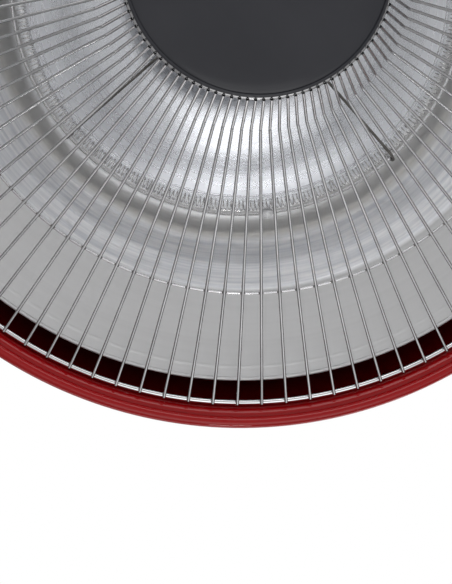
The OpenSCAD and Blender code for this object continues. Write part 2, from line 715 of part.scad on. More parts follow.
// Electrics
small_screw_d = 3;
earth_d = 4;
earth_y = -30;
cutout_x = 26;
cutout_ear = 12;
gland_pad = gland_d + 8;
rocker_w = switch_w - 10;
rocker_h = switch_h - 6;
rocker_y = pad_y + 1.5;
rocker_pin_d = 2.4;
tab_t = 0.8;
tab_w = 6;
tab_step = 5;
switch_tab_l = 5;
module switch_body() {
    frame_t = 2;
    hung() color([0.1, 0.1, 0.1]) translate([0, pad_y, pad_z]) difference() {
        union() {
            translate([-switch_w / 2, -frame_t, -switch_h / 2]) cube([switch_w, frame_t, switch_h]);
            translate([-barrel_w / 2 + run_gap, -eps, -barrel_h / 2 + run_gap])
                cube([barrel_w - 2 * run_gap, switch_deep, barrel_h - 2 * run_gap]);
            for (i = [-1:1]) translate([i * tab_step - tab_t / 2, switch_deep - eps, -tab_w / 2])
                cube([tab_t, switch_tab_l, tab_w]);
        }
        translate([-rocker_w / 2 - side_gap, -frame_t - 1, -rocker_h / 2 - side_gap])
            cube([rocker_w + 2 * side_gap, switch_deep - 3, rocker_h + 2 * side_gap]);
        translate([0, rocker_y - pad_y, 0]) rotate([0, 90, 0])
            translate([0, 0, -rocker_w / 2 - 1.5])
            cylinder(h = rocker_w + 3, d = rocker_pin_d + 2 * run_gap);
    }
}
// The rocker's two faces meet at its middle; at rest the lower one is pressed in
module switch_rocker() {
    half = rocker_h / 2 - 0.6;
    proud = 4.6;
    dip = half * tan(rocker_turn / 2);
    back = 4.2;
    journal = rocker_w / 2 + 1.2;
    hung() color([0.75, 0.08, 0.06]) translate([0, rocker_y, pad_z]) rotate([rocker_turn / 2, 0, 0]) {
        rotate([90, 0, 90]) linear_extrude(height = rocker_w - 2 * side_gap, center = true)
            polygon([[-proud - dip, -half], [-proud, 0], [-proud - dip, half],
                [back - dip, half * 0.75], [back, 0], [back - dip, -half * 0.75]]);
        rotate([0, 90, 0]) translate([0, 0, -journal]) cylinder(h = 2 * journal, d = rocker_pin_d);
    }
}
module pilot_lamp() {
    lip_t = 1;
    tail = 3;
    hung() color([0.85, 0.25, 0.1]) at_pilot() {
        translate([0, 0, -tail]) cylinder(h = tail + pilot_deep + eps, d = pilot_d);
        translate([0, 0, pilot_deep]) cylinder(h = lip_t, d = pilot_d + 2.4);
        translate([0, 0, pilot_deep + lip_t - eps]) intersection() {
            cylinder(h = 2, d = pilot_d);
            translate([0, 0, -2.6]) sphere(d = pilot_d + 2);
        }
    }
}
block_x = -27;
block_w = 14;
block_h = 14;
poles = 5;
screw_well = 6;
wire_hole_d = 3;
wire_hole_z = block_h / 2 - 1;
pole_step = block_l / poles;
module at_poles() {
    for (i = [0:poles - 1]) translate([block_x, (i - (poles - 1) / 2) * pole_step, top_z]) children();
}
module terminal_block() {
    hung() color("ivory") difference() {
        translate([block_x - block_w / 2, -block_l / 2, top_z]) cube([block_w, block_l, block_h]);
        at_poles() translate([0, 0, block_h - screw_well]) cylinder(h = screw_well + 1, d = 4);
        at_poles() translate([-block_w, 0, wire_hole_z]) rotate([0, 90, 0])
            cylinder(h = 2 * block_w, d = wire_hole_d);
    }
}
module terminal_screws() {
    hung() color("goldenrod") at_poles() translate([0, 0, block_h - screw_well])
        cylinder(h = 4, d = 4 - 2 * run_gap);
}
cutout_h = 9;
cutout_tab_l = 7;
cutout_tab_y = 4;
cutout_plate_t = 1;
module thermal_cutout() {
    plate_w = 9;
    plate_l = 2 * cutout_ear + 8;
    hung() color([0.3, 0.3, 0.32]) translate([cutout_x, 0, top_z]) difference() {
        union() {
            cylinder(h = cutout_h, d = cutout_d);
            translate([-plate_w / 2, -plate_l / 2, 0]) cube([plate_w, plate_l, cutout_plate_t]);
            for (s = [-1, 1]) translate([-tab_w / 2, s * cutout_tab_y - tab_t / 2, cutout_h - eps])
                cube([tab_w, tab_t, cutout_tab_l]);
        }
        for (s = [-1, 1]) translate([0, s * cutout_ear, -1])
            cylinder(h = cutout_plate_t + 2, d = small_screw_d + 2 * screw_gap);
    }
}
module cutout_screws() {
    hung() color("silver") for (s = [-1, 1]) translate([cutout_x, s * cutout_ear, top_z + cutout_plate_t])
        rotate([180, 0, 0]) pan_screw(small_screw_d, cutout_plate_t + skin_t + 2);
}
module earth_screw() {
    hung() color("goldenrod") translate([0, earth_y, top_z]) {
        translate([0, 0, earth_d]) rotate([180, 0, 0]) pan_screw(earth_d, earth_d + skin_t + 4);
        hex_nut(earth_d, 1.75 * earth_d, 0.8 * earth_d);
    }
}

// Cable gland; the cable itself is left off
module at_gland() { translate([0, gland_y, gland_z]) rotate([-90, 0, 0]) children(); }
gland_flange_t = 6;
gland_thread_l = 7;
gland_tail = 12;
gland_bore_d = gland_d - 5;
gland_l = gland_flange_t + gland_thread_l;
module gland_body() {
    hung() color([0.1, 0.1, 0.11]) at_gland() difference() {
        union() {
            translate([0, 0, -gland_tail]) cylinder(h = gland_tail + eps, d = gland_d);
            cylinder(h = gland_flange_t, d = (gland_d + 6) / cos(30), $fn = 6);
            translate([0, 0, gland_flange_t - eps]) cylinder(h = gland_thread_l + eps, d = gland_d);
        }
        translate([0, 0, -gland_tail - 1]) cylinder(h = gland_tail + gland_l + 2, d = gland_bore_d);
    }
}
module gland_seal() {
    seal_in = 2;
    hung() color([0.15, 0.15, 0.15]) at_gland() difference() {
        translate([0, 0, seal_in]) cylinder(h = gland_l - seal_in, d = gland_bore_d - 2 * run_gap);
        translate([0, 0, seal_in - 1]) cylinder(h = gland_l, d = cable_hole_d);
    }
}
// The nut's hexagon turns on the thread and its rounded nose closes over the seal
module gland_nut() {
    hex_l = 6;
    nose_r = gland_d / 2 + 2.5;
    nose_l = 6;
    hung() color([0.1, 0.1, 0.11]) at_gland() difference() {
        union() {
            translate([0, 0, gland_flange_t + side_gap])
                cylinder(h = hex_l, d = 2 * nose_r / cos(30), $fn = 6);
            translate([0, 0, gland_flange_t + hex_l]) rotate_extrude()
                polygon([[0, 0], [nose_r, 0], [nose_r - 1, 4], [nose_r - 4.5, nose_l], [0, nose_l]]);
        }
        translate([0, 0, gland_flange_t - 1]) cylinder(h = gland_thread_l + 1 + 2 * run_gap, d = gland_d);
        cylinder(h = 2 * gland_l, d = cable_hole_d + 1);
    }
}
// Each wire leaves its terminal, tab or lead square to it, then crosses the cap in a few bends
module inner_wires() {
    y0 = (poles - 1) / 2 * pole_step;
    from_block = block_x + block_w / 2;
    hole_z = top_z + wire_hole_z;
    tab_y = pad_y + switch_deep + switch_tab_l;
    tab_z = top_z + cutout_h + cutout_tab_l;
    join_z = top_z + lead_end;
    wire_y = grommet_y + 4;
    wire_z = top_z + block_h + 4;
    hung() color("steelblue") {
        rods([[from_block - 3, y0, hole_z], [from_block + 3, y0, hole_z], [-6, wire_y, wire_z],
            [-lead_x, grommet_y, join_z + 6], [-lead_x, grommet_y, join_z]], lead_d);
        rods([[from_block - 3, -y0, hole_z], [from_block + 3, -y0, hole_z],
            [-tab_step, tab_y + 8, pad_z], [-tab_step, tab_y, pad_z]], lead_d);
        rods([[tab_step, tab_y, pad_z], [tab_step, tab_y + 8, pad_z], [cutout_x, -10, tab_z + 8],
            [cutout_x, -cutout_tab_y, tab_z + 5], [cutout_x, -cutout_tab_y, tab_z]], lead_d);
        rods([[cutout_x, cutout_tab_y, tab_z], [cutout_x, cutout_tab_y, tab_z + 5], [10, wire_y, wire_z],
            [lead_x, grommet_y, join_z + 6], [lead_x, grommet_y, join_z]], lead_d);
    }
}

// Hanging parts
module hanging_rod() {
    foot_z = dome_in_z - washer_t - nut_h - screw_over;
    hung() color("silver") translate([0, 0, foot_z])
        cylinder(h = clevis_z + clevis_base_h - socket_floor - foot_z, d = rod_d);
}
module rod_nuts() {
    hung() color("silver")
        for (z = [dome_in_z - washer_t - nut_h, top_z + washer_t, cover_top_z - cover_t - nut_h])
            translate([0, 0, z]) hex_nut(rod_d, 1.7 * rod_d, nut_h);
}
module washer(z) {
    translate([0, 0, z]) difference() {
        cylinder(h = washer_t, d = rod_d * 2);
        translate([0, 0, -1]) cylinder(h = washer_t + 2, d = rod_d + 2 * screw_gap);
    }
}
module rod_washers() {
    hung() color("lightgray") {
        washer(dome_in_z - washer_t);
        washer(top_z);
        washer(cover_top_z);
    }
}
module clevis() {
    outer = cheek_gap + 2 * cheek_t;
    cheek_h = pin_z - clevis_z - clevis_base_h + 1;
    hung() color("silver") difference() {
        union() {
            translate([0, 0, clevis_z]) cylinder(h = clevis_base_h, d = outer + 6);
            for (s = [-1, 1]) translate([s * (cheek_gap + cheek_t) / 2, 0, pin_z]) {
                rotate([0, 90, 0]) cylinder(h = cheek_t, r = foot_r, center = true);
                translate([-cheek_t / 2, -foot_r, -cheek_h]) cube([cheek_t, 2 * foot_r, cheek_h]);
            }
        }
        translate([0, 0, clevis_z - 1]) cylinder(h = clevis_base_h - socket_floor + 1, d = rod_d);
        translate([0, 0, pin_z]) rotate([0, 90, 0])
            cylinder(h = 2 * outer, d = pin_d + 2 * run_gap, center = true);
    }
}
pin_l = cheek_gap + 2 * cheek_t + 7;
pin_x = -cheek_gap / 2 - cheek_t;
split_d = 2;
split_x = pin_x + pin_l - 3;
module clevis_pin() {
    head_h = 3;
    hung() color("lightgray") translate([0, 0, pin_z]) difference() {
        translate([pin_x, 0, 0]) rotate([0, 90, 0]) {
            translate([0, 0, -head_h]) cylinder(h = head_h, d = pin_d + 4);
            translate([0, 0, -eps]) cylinder(h = pin_l, d = pin_d);
        }
        translate([split_x, 0, 0]) rotate([90, 0, 0])
            cylinder(h = 2 * pin_d, d = split_d + 2 * run_gap, center = true);
    }
}
module split_pin() {
    loop_r = 2;
    hung() color("silver") translate([split_x, 0, pin_z]) {
        rotate([90, 0, 0]) cylinder(h = pin_d + 6, d = split_d, center = true);
        translate([0, -pin_d / 2 - 3 - loop_r, 0]) rotate([0, 90, 0])
            rotate_extrude() translate([loop_r, 0]) circle(d = split_d, $fn = 24);
    }
}
// The eye is cut from plate: a foot round the pin, a ring round the hole and straight sides between
module hanging_eye() {
    d = eye_l;
    lean = asin((eye_r - foot_r) / d);
    hung() color("silver") translate([0, 0, pin_z]) rotate([0, 90, 0]) rotate([0, 0, 90]) difference() {
        linear_extrude(height = eye_t, center = true) union() {
            circle(r = foot_r);
            translate([0, d]) circle(r = eye_r);
            polygon([[foot_r * cos(lean), -foot_r * sin(lean)], [eye_r * cos(lean), d - eye_r * sin(lean)],
                [-eye_r * cos(lean), d - eye_r * sin(lean)], [-foot_r * cos(lean), -foot_r * sin(lean)]]);
        }
        cylinder(h = eye_t + 2, d = pin_d + 2 * run_gap, center = true);
        translate([0, d, 0]) cylinder(h = eye_t + 2, d = eye_hole_d, center = true);
    }
}

dome_shell();
clamp_brackets();
reflector();
heat_shield();
lower_spacers();
upper_spacers();
tie_bolts();
tie_nuts();
lamp_tube();
lamp_filament();
lamp_end_caps();
lamp_bushings();
lamp_hooks();
hook_plate();
hook_plate_screw();
hook_plate_nut();
lamp_leads();
lead_grommet();
guard_outer_ring();
guard_wires();
guard_middle_ring();
guard_hub_ring();
guard_cap();
guard_cap_plate();
guard_cap_screws();
guard_clamps();
guard_clamp_screws();
top_cap();
top_cap_gasket();
top_cap_screws();
switch_body();
switch_rocker();
pilot_lamp();
terminal_block();
terminal_screws();
thermal_cutout();
cutout_screws();
earth_screw();
gland_body();
gland_seal();
gland_nut();
inner_wires();
hanging_rod();
rod_nuts();
rod_washers();
clevis();
clevis_pin();
split_pin();
hanging_eye();
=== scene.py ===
# Hanging halogen patio heater: a red dome that hangs open side down, with a ring lamp under a spun
# reflector, a wire guard across the mouth and a vented cap over the electrics.
# Sizes are in millimetres, times MM. Heights are counted from mouth level, the plane of the guard's
# outer ring, and drop() lowers them to the frame, whose origin is the hole of the hanging eye.
import json
from math import asin, cos, pi, radians, sin, sqrt, tan

import bpy
from mathutils import Matrix, Vector


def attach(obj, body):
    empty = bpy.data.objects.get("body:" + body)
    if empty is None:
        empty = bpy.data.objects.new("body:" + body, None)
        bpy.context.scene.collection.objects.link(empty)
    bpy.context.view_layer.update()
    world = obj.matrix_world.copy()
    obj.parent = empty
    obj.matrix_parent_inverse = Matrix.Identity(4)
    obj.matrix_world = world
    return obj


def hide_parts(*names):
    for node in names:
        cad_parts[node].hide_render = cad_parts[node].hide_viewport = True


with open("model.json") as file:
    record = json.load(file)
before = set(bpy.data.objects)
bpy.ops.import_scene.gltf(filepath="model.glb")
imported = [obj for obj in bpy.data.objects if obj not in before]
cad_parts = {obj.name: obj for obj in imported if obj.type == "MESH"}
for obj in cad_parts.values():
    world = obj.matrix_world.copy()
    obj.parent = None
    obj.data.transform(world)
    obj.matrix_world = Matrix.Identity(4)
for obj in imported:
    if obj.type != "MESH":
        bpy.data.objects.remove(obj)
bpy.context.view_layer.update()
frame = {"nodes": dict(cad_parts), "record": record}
MM = 0.001

# Sizes of the heater
HANG = 180.6
RIM_R = 211
BEAD_R = 2.7
SKIRT_R = 202
SKIN = 1.2
FLARE_Z = 2.1
FLARE_W = 6.3
FLAT_R = 75
SKIRT_H = 14
DOME_H = 84
LIP_W = 4.4
LIP_RISE = 3.1
ROD_HOLE_R = 5.3
TIE_R = 42
TIE_HOLE_R = 2.8
BOSS_R = 55
BOSS_HOLE_R = 2.3
GROMMET_Y = 27
GROMMET_HOLE_R = 5
# Painted shade inside the dome: the paint darkens from the first height to near black at the second
PAINTED_SHADE_FROM_Z, PAINTED_SHADE_FULL_Z = 25, 46

REFLECTOR_R = 189
SHEET = 0.8
EDGE_Z = 4
BAND_R = 146
BAND_Z = 7
TROUGH_Z = 40
CENTRE_R = 54
CENTRE_Z = 24
CENTRE_HOLE_R = 2.3
LEG_HOLE_GAP = 2.3

LAMP_R = 105.5
LAMP_Z = 12
GLASS_R = 5
GLASS_WALL = 1
LEG_BEND = 12
LEG_REACH = 22
LEG_TOP_Z = 54
SEAL = 8
COIL_R = 2.45
COIL_WIRE = 0.5
CURL_PITCH = 1.9
COIL_SHORT = 6
SUPPORTS = 22
SUPPORT_WIRE = 0.35
TIP_ANGLE = -96.4
TIP_R = 2.3
TIP_SUNK = 0.9
TIP_DROP = 2
TIP_LEAN = 115
TIP_NIB, TIP_NIB_R = 0.9, 1.6
HOOK_ANGLE = -131.6
HOOK_WIRE = 1.4
HOOK_CROOK = 70
HOOK_PLATE_R = 28
HOOK_PLATE_Z = 22.5

RING_R = 199
RING_WIRE = 2.5
WIRES = 108
WIRE = 1.5
WIRE_ANGLE = -92.4
WIRE_OUT = (199.9, -1.81)
WIRE_BEND = (73.8, -39.89)
WIRE_END = (62.09, -56.06)
WIRE_CORNER_R = 3
MID_RING = (147.6, -16.2)
MID_WIRE = 1.2
HUB_RING = (60.88, -54.32)
CAP_R = 61.08
CAP_TOP = -55.57
CAP_BULGE = 4
CAP_SHEET = 1.2
CAP_EDGE = 2.2


def drop(z):
    """Height above mouth level to height in the frame, in millimetres."""
    return z - HANG


def mm(x, y, z):
    """A point of the heater, with its height above mouth level, as a place in the frame."""
    return Vector((x, y, drop(z))) * MM


# Camera: below the mouth, looking up at its front, as the photograph does. Its focal length is in pixels
# of the photograph, which is 584 of them high.
PHOTO_H = 584
FOCAL_PX = 1906
RING_SEEN_AT = Vector((8.4, -146.9, 900))
TILT = Matrix.Rotation(radians(-0.2), 3, "X") @ Matrix.Rotation(radians(-5.92), 3, "Y")


def make_camera():
    """RING_SEEN_AT is how far the guard ring's centre lies right of, below and before the camera."""
    seen = TILT @ Matrix.Diagonal((-1, -1, 1))
    place = Vector((0, 0, drop(0))) - seen.transposed() @ RING_SEEN_AT
    right, down, ahead = seen
    turn = Matrix((right, -down, -ahead)).transposed().to_4x4()
    data = bpy.data.cameras.new("camera")
    data.sensor_width = 36
    data.lens = FOCAL_PX * data.sensor_width / PHOTO_H
    data.clip_end = 20
    camera = bpy.data.objects.new("camera", data)
    bpy.context.scene.collection.objects.link(camera)
    camera.matrix_world = Matrix.Translation(place * MM) @ turn
    bpy.context.scene.camera = camera


make_camera()


# Modelling helpers
def select_only(*pieces):
    """Selects these pieces and nothing else; the last one is active."""
    bpy.ops.object.select_all(action="DESELECT")
    for piece in pieces:
        piece.select_set(True)
    bpy.context.view_layer.objects.active = pieces[-1]


def edit(piece, action="SELECT"):
    """Opens the piece's mesh for editing, with all of it or none of it selected."""
    select_only(piece)
    bpy.ops.object.mode_set(mode="EDIT")
    bpy.ops.mesh.select_all(action=action)


def leave():
    bpy.ops.object.mode_set(mode="OBJECT")


def named(name):
    """Names the object that an operator has just made."""
    piece = bpy.context.object
    piece.name = piece.data.name = name
    return piece


def apply_place(piece):
    """Moves the piece's place, turn and scale into its mesh, so that its origin is the frame's."""
    select_only(piece)
    bpy.ops.object.transform_apply(location=True, rotation=True, scale=True)


def apply_modifier(piece, kind, **settings):
    """Adds one modifier of this kind and applies it to the mesh at once."""
    select_only(piece)
    modifier = piece.modifiers.new(kind.lower(), kind)
    for key, value in settings.items():
        setattr(modifier, key, value)
    bpy.ops.object.modifier_apply(modifier=modifier.name)


def joined(name, pieces):
    """Joins the pieces' meshes into one; the last piece stays."""
    select_only(*pieces)
    bpy.ops.object.join()
    return named(name)


def smooth(piece, angle=35):
    """Shades the mesh smooth, apart from edges that are sharper than the angle in degrees."""
    select_only(piece)
    bpy.ops.object.shade_smooth_by_angle(angle=radians(angle))


def outward(piece):
    """Merges doubled points and turns every face outwards."""
    edit(piece)
    bpy.ops.mesh.remove_doubles(threshold=0.002 * MM)
    bpy.ops.mesh.normals_make_consistent(inside=False)
    leave()


def arc(cx, cz, r, a0, a1, n):
    """Points along an arc, with angles in degrees from +R towards +Z."""
    steps = [radians(a0 + (a1 - a0) * i / n) for i in range(n + 1)]
    return [(cx + r * cos(a), cz + r * sin(a)) for a in steps]


def ease(r0, r1, z0, z1, n):
    """Points along a slope that starts and ends level, without its first point."""
    return [(r0 + (r1 - r0) * i / n, z0 + (z1 - z0) * (1 - cos(pi * i / n)) / 2) for i in range(1, n + 1)]


def turned(name, outline, steps=256):
    """Draws the outline, radius and height in millimetres, from one point and spins it round the axis."""
    line = [mm(r, 0, z) for r, z in outline]
    bpy.ops.object.select_all(action="DESELECT")
    bpy.ops.mesh.primitive_plane_add(size=MM, location=line[0])
    piece = named(name)
    bpy.ops.object.mode_set(mode="EDIT")
    bpy.ops.mesh.merge(type="CENTER")
    for a, b in zip(line, line[1:]):
        bpy.ops.mesh.extrude_region_move(TRANSFORM_OT_translate={"value": b - a})
    bpy.ops.mesh.select_all(action="SELECT")
    bpy.ops.mesh.spin(steps=steps, angle=2 * pi, center=(0, 0, 0), axis=(0, 0, 1))
    leave()
    apply_place(piece)
    outward(piece)
    return piece


def drilled(piece, z, holes, depth=6):
    """Cuts round holes along Z, centred on the height z; each is x, y and radius in millimetres."""
    for x, y, r in holes:
        bpy.ops.object.select_all(action="DESELECT")
        bpy.ops.mesh.primitive_cylinder_add(vertices=48, radius=r * MM, depth=depth * MM,
                                            location=mm(x, y, z))
        cutter = bpy.context.object
        apply_modifier(piece, "BOOLEAN", operation="DIFFERENCE", object=cutter, solver="EXACT")
        bpy.data.objects.remove(cutter)


def holes_round(place_r, hole_r, first=0):
    """Four holes on a circle; the first one's angle is in radians."""
    turns = [first + i * pi / 2 for i in range(4)]
    return [(place_r * cos(a), place_r * sin(a), hole_r) for a in turns]


def bent_wire(name, points, d, sides):
    """A round wire along points in metres, as a mesh with closed ends."""
    line = bpy.data.curves.new(name, "CURVE")
    line.dimensions = "3D"
    spline = line.splines.new("POLY")
    spline.points.add(len(points) - 1)
    for knot, p in zip(spline.points, points):
        knot.co = (*p, 1)
    line.bevel_depth = d / 2 * MM
    line.bevel_resolution = sides // 2 - 2
    line.use_fill_caps = True
    wire = bpy.data.objects.new(name, line)
    bpy.context.scene.collection.objects.link(wire)
    select_only(wire)
    bpy.ops.object.convert(target="MESH")
    return named(name)


def copies_round(piece, count):
    """Copies the whole mesh round the axis until there are count of it."""
    edit(piece)
    bpy.ops.mesh.spin(steps=count - 1, dupli=True, angle=2 * pi * (count - 1) / count,
                      center=(0, 0, 0), axis=(0, 0, 1), use_auto_merge=False)
    leave()


def turn_piece(piece, angle):
    """Turns the mesh round the axis, by an angle in degrees."""
    piece.rotation_euler = (0, 0, radians(angle))
    apply_place(piece)


def rounded(points, radius, n):
    """A line of points whose inner corners are rounded by short curves of n steps."""
    out = [points[0]]
    for a, b, c in zip(points, points[1:], points[2:]):
        u, v = (a - b).normalized(), (c - b).normalized()
        reach = radius / tan(u.angle(v) / 2)
        for i in range(n + 1):
            t = i / n
            out.append((b + u * reach) * (1 - t) ** 2 + b * 2 * t * (1 - t) + (b + v * reach) * t ** 2)
    return out + [points[-1]]


SLOT_OF = {part["node"]: part["material_slot"] for part in frame["record"]["subparts"]}


def finished(piece, slot, material=None):
    """Gives the piece its slot and finish, and lets it ride on the heater's body."""
    piece.data.materials.clear()
    piece.data.materials.append(material or FINISH[slot])
    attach(piece, "heater")


def keep(piece, cad_node, slot=None):
    """The piece stands for this CAD node and takes its slot, unless another is given."""
    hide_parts(cad_node)
    finished(piece, slot or SLOT_OF[cad_node])


# Materials: small helpers first, then the effects that several finishes share
def node(tree, kind, **settings):
    made = tree.nodes.new("ShaderNode" + kind)
    for key, value in settings.items():
        setattr(made, key, value)
    return made


def feed(tree, source, target):
    tree.links.new(source, target)


def set_inputs(target, **values):
    """Sets a node's sockets by name, with _ for each space."""
    for key, value in values.items():
        target.inputs[key.replace("_", " ")].default_value = value


def calc(tree, operation, *sources):
    """A math node, fed by other nodes' outputs."""
    made = node(tree, "Math", operation=operation)
    for target, source in zip(made.inputs, sources):
        feed(tree, source, target)
    return made.outputs[0]


def ramp(tree, source, low=0, high=1, to_low=0, to_high=1, **settings):
    """Maps the range from low to high on to the range from to_low to to_high, and stops at its ends."""
    made = node(tree, "MapRange", **settings)
    set_inputs(made, From_Min=low, From_Max=high, To_Min=to_low, To_Max=to_high)
    feed(tree, source, made.inputs["Value"])
    return made.outputs["Result"]


def blend(tree, mask, first, second):
    """Runs from the first colour to the second as the mask goes from 0 to 1."""
    mix = node(tree, "Mix", data_type="RGBA")
    if isinstance(first, tuple):
        mix.inputs["A"].default_value = (*first, 1)
    else:
        feed(tree, first, mix.inputs["A"])
    mix.inputs["B"].default_value = (*second, 1)
    feed(tree, mask, mix.inputs["Factor"])
    return mix.outputs["Result"]


def from_axis(tree):
    """The place seen along the axis, and how far it lies from the axis."""
    flat = node(tree, "VectorMath", operation="MULTIPLY")
    flat.inputs[1].default_value = (1, 1, 0)
    feed(tree, node(tree, "TexCoord").outputs["Object"], flat.inputs[0])
    radius = node(tree, "VectorMath", operation="LENGTH")
    feed(tree, flat.outputs[0], radius.inputs[0])
    return flat.outputs[0], radius.outputs["Value"]


def height_of(tree):
    """The height in the frame, in metres."""
    height = node(tree, "SeparateXYZ")
    feed(tree, node(tree, "TexCoord").outputs["Object"], height.inputs[0])
    return height.outputs["Z"]


def effect(name, inputs, outputs):
    """An empty node group with number sockets; returns it with its input and output nodes."""
    tree = bpy.data.node_groups.new(name, "ShaderNodeTree")
    for socket, default in inputs.items():
        made = tree.interface.new_socket(socket, in_out="INPUT", socket_type="NodeSocketFloat")
        made.default_value = default
    for socket in outputs:
        tree.interface.new_socket(socket, in_out="OUTPUT", socket_type="NodeSocketFloat")
    return tree, tree.nodes.new("NodeGroupInput"), tree.nodes.new("NodeGroupOutput")


def spread(tree, source, low, high):
    """Maps a noise, which mostly lies between 0.3 and 0.7, to the range from low to high."""
    out = node(tree, "MapRange")
    set_inputs(out, From_Min=0.3, From_Max=0.7)
    feed(tree, source, out.inputs["Value"])
    feed(tree, low, out.inputs["To Min"])
    feed(tree, high, out.inputs["To Max"])
    return out.outputs["Result"]


def turning_marks():
    """Fine circular marks round the axis, as a spinning tool or brush leaves them."""
    tree, given, made = effect("turning marks", {"Lines": 900, "Length": 3, "Low": 0, "High": 1}, ["Value"])
    flat, radius = from_axis(tree)
    # Height counts too, so that the marks don't spread out where the sheet is steep
    along = node(tree, "Math", operation="MULTIPLY_ADD")
    along.inputs[1].default_value = 0.7
    feed(tree, height_of(tree), along.inputs[0])
    feed(tree, radius, along.inputs[2])
    lines = calc(tree, "MULTIPLY", along.outputs[0], given.outputs["Lines"])
    heading = node(tree, "VectorMath", operation="NORMALIZE")
    feed(tree, flat, heading.inputs[0])
    long = node(tree, "VectorMath", operation="SCALE")
    feed(tree, heading.outputs[0], long.inputs[0])
    feed(tree, given.outputs["Length"], long.inputs["Scale"])
    parts = node(tree, "SeparateXYZ")
    feed(tree, long.outputs[0], parts.inputs[0])
    at = node(tree, "CombineXYZ")
    feed(tree, lines, at.inputs["X"])
    feed(tree, parts.outputs["X"], at.inputs["Y"])
    feed(tree, parts.outputs["Y"], at.inputs["Z"])
    noise = node(tree, "TexNoise")
    set_inputs(noise, Scale=1, Detail=1.5, Roughness=0.5)
    feed(tree, at.outputs[0], noise.inputs["Vector"])
    feed(tree, spread(tree, noise.outputs["Fac"], given.outputs["Low"], given.outputs["High"]),
         made.inputs["Value"])
    return tree


def blotches():
    """Soft uneven patches, such as stains, handling marks and uneven plating."""
    tree, given, made = effect("blotches", {"Scale": 40, "Low": 0, "High": 1}, ["Value"])
    place = node(tree, "TexCoord")
    noise = node(tree, "TexNoise")
    set_inputs(noise, Detail=4, Roughness=0.55)
    feed(tree, place.outputs["Object"], noise.inputs["Vector"])
    feed(tree, given.outputs["Scale"], noise.inputs["Scale"])
    feed(tree, spread(tree, noise.outputs["Fac"], given.outputs["Low"], given.outputs["High"]),
         made.inputs["Value"])
    return tree


def grain():
    """Small round bumps, such as moulded plastic's texture, a casting's skin or paint's orange peel."""
    tree, given, made = effect("grain", {"Scale": 900, "Softness": 0.5}, ["Height"])
    place = node(tree, "TexCoord")
    cells = node(tree, "TexVoronoi", feature="SMOOTH_F1")
    feed(tree, place.outputs["Object"], cells.inputs["Vector"])
    feed(tree, given.outputs["Scale"], cells.inputs["Scale"])
    feed(tree, given.outputs["Softness"], cells.inputs["Smoothness"])
    feed(tree, cells.outputs["Distance"], made.inputs["Height"])
    return tree


def settled_dust():
    """A thin film of dust that thickens on faces that look up."""
    tree, given, made = effect("settled dust", {"Amount": 0.2, "Scale": 60}, ["Value"])
    place = node(tree, "TexCoord")
    noise = node(tree, "TexNoise")
    set_inputs(noise, Detail=6, Roughness=0.7)
    feed(tree, place.outputs["Object"], noise.inputs["Vector"])
    feed(tree, given.outputs["Scale"], noise.inputs["Scale"])
    facing = node(tree, "SeparateXYZ")
    feed(tree, place.outputs["Normal"], facing.inputs[0])
    up = ramp(tree, facing.outputs["Z"], 0.2, 1, interpolation_type="SMOOTHSTEP")
    patch = ramp(tree, noise.outputs["Fac"], 0.35, 0.75)
    film = calc(tree, "MULTIPLY", calc(tree, "MULTIPLY", up, patch), given.outputs["Amount"])
    feed(tree, film, made.inputs["Value"])
    return tree


def worn_edges():
    """A mask of sharp outer edges, where plating or paint is rubbed thin."""
    tree, given, made = effect("worn edges", {"Sharpness": 0.55}, ["Value"])
    edge = node(tree, "MapRange")
    set_inputs(edge, From_Max=0.75, To_Min=0, To_Max=1)
    feed(tree, given.outputs["Sharpness"], edge.inputs["From Min"])
    feed(tree, node(tree, "NewGeometry").outputs["Pointiness"], edge.inputs["Value"])
    feed(tree, edge.outputs["Result"], made.inputs["Value"])
    return tree


EFFECTS = {make.__name__: make() for make in (turning_marks, blotches, grain, settled_dust, worn_edges)}


class Finish:
    """One material under construction: its node tree, its shader and what feeds them."""

    def __init__(self, name, **sockets):
        self.material = bpy.data.materials.new(name)
        self.material.use_nodes = True
        self.tree = self.material.node_tree
        self.shader = self.tree.nodes["Principled BSDF"]
        set_inputs(self.shader, **sockets)

    def use(self, name, **values):
        """Adds one of the effects, with these values instead of its own."""
        made = self.tree.nodes.new("ShaderNodeGroup")
        made.node_tree = EFFECTS[name]
        set_inputs(made, **values)
        return made.outputs[0]

    def drive(self, socket, source):
        feed(self.tree, source, self.shader.inputs[socket])

    def colours(self, mask, first, second):
        """Gives the shader a blend of two colours, and returns it for a further blend."""
        mixed = blend(self.tree, mask, first, second)
        self.drive("Base Color", mixed)
        return mixed

    def bump(self, height, depth, strength=1, before=None):
        """Adds a relief whose height runs from 0 to depth, in millimetres."""
        relief = node(self.tree, "Bump")
        relief.inputs["Strength"].default_value = strength
        relief.inputs["Distance"].default_value = depth * MM
        feed(self.tree, height, relief.inputs["Height"])
        if before is not None:
            feed(self.tree, before, relief.inputs["Normal"])
        self.drive("Normal", relief.outputs["Normal"])
        return relief.outputs["Normal"]


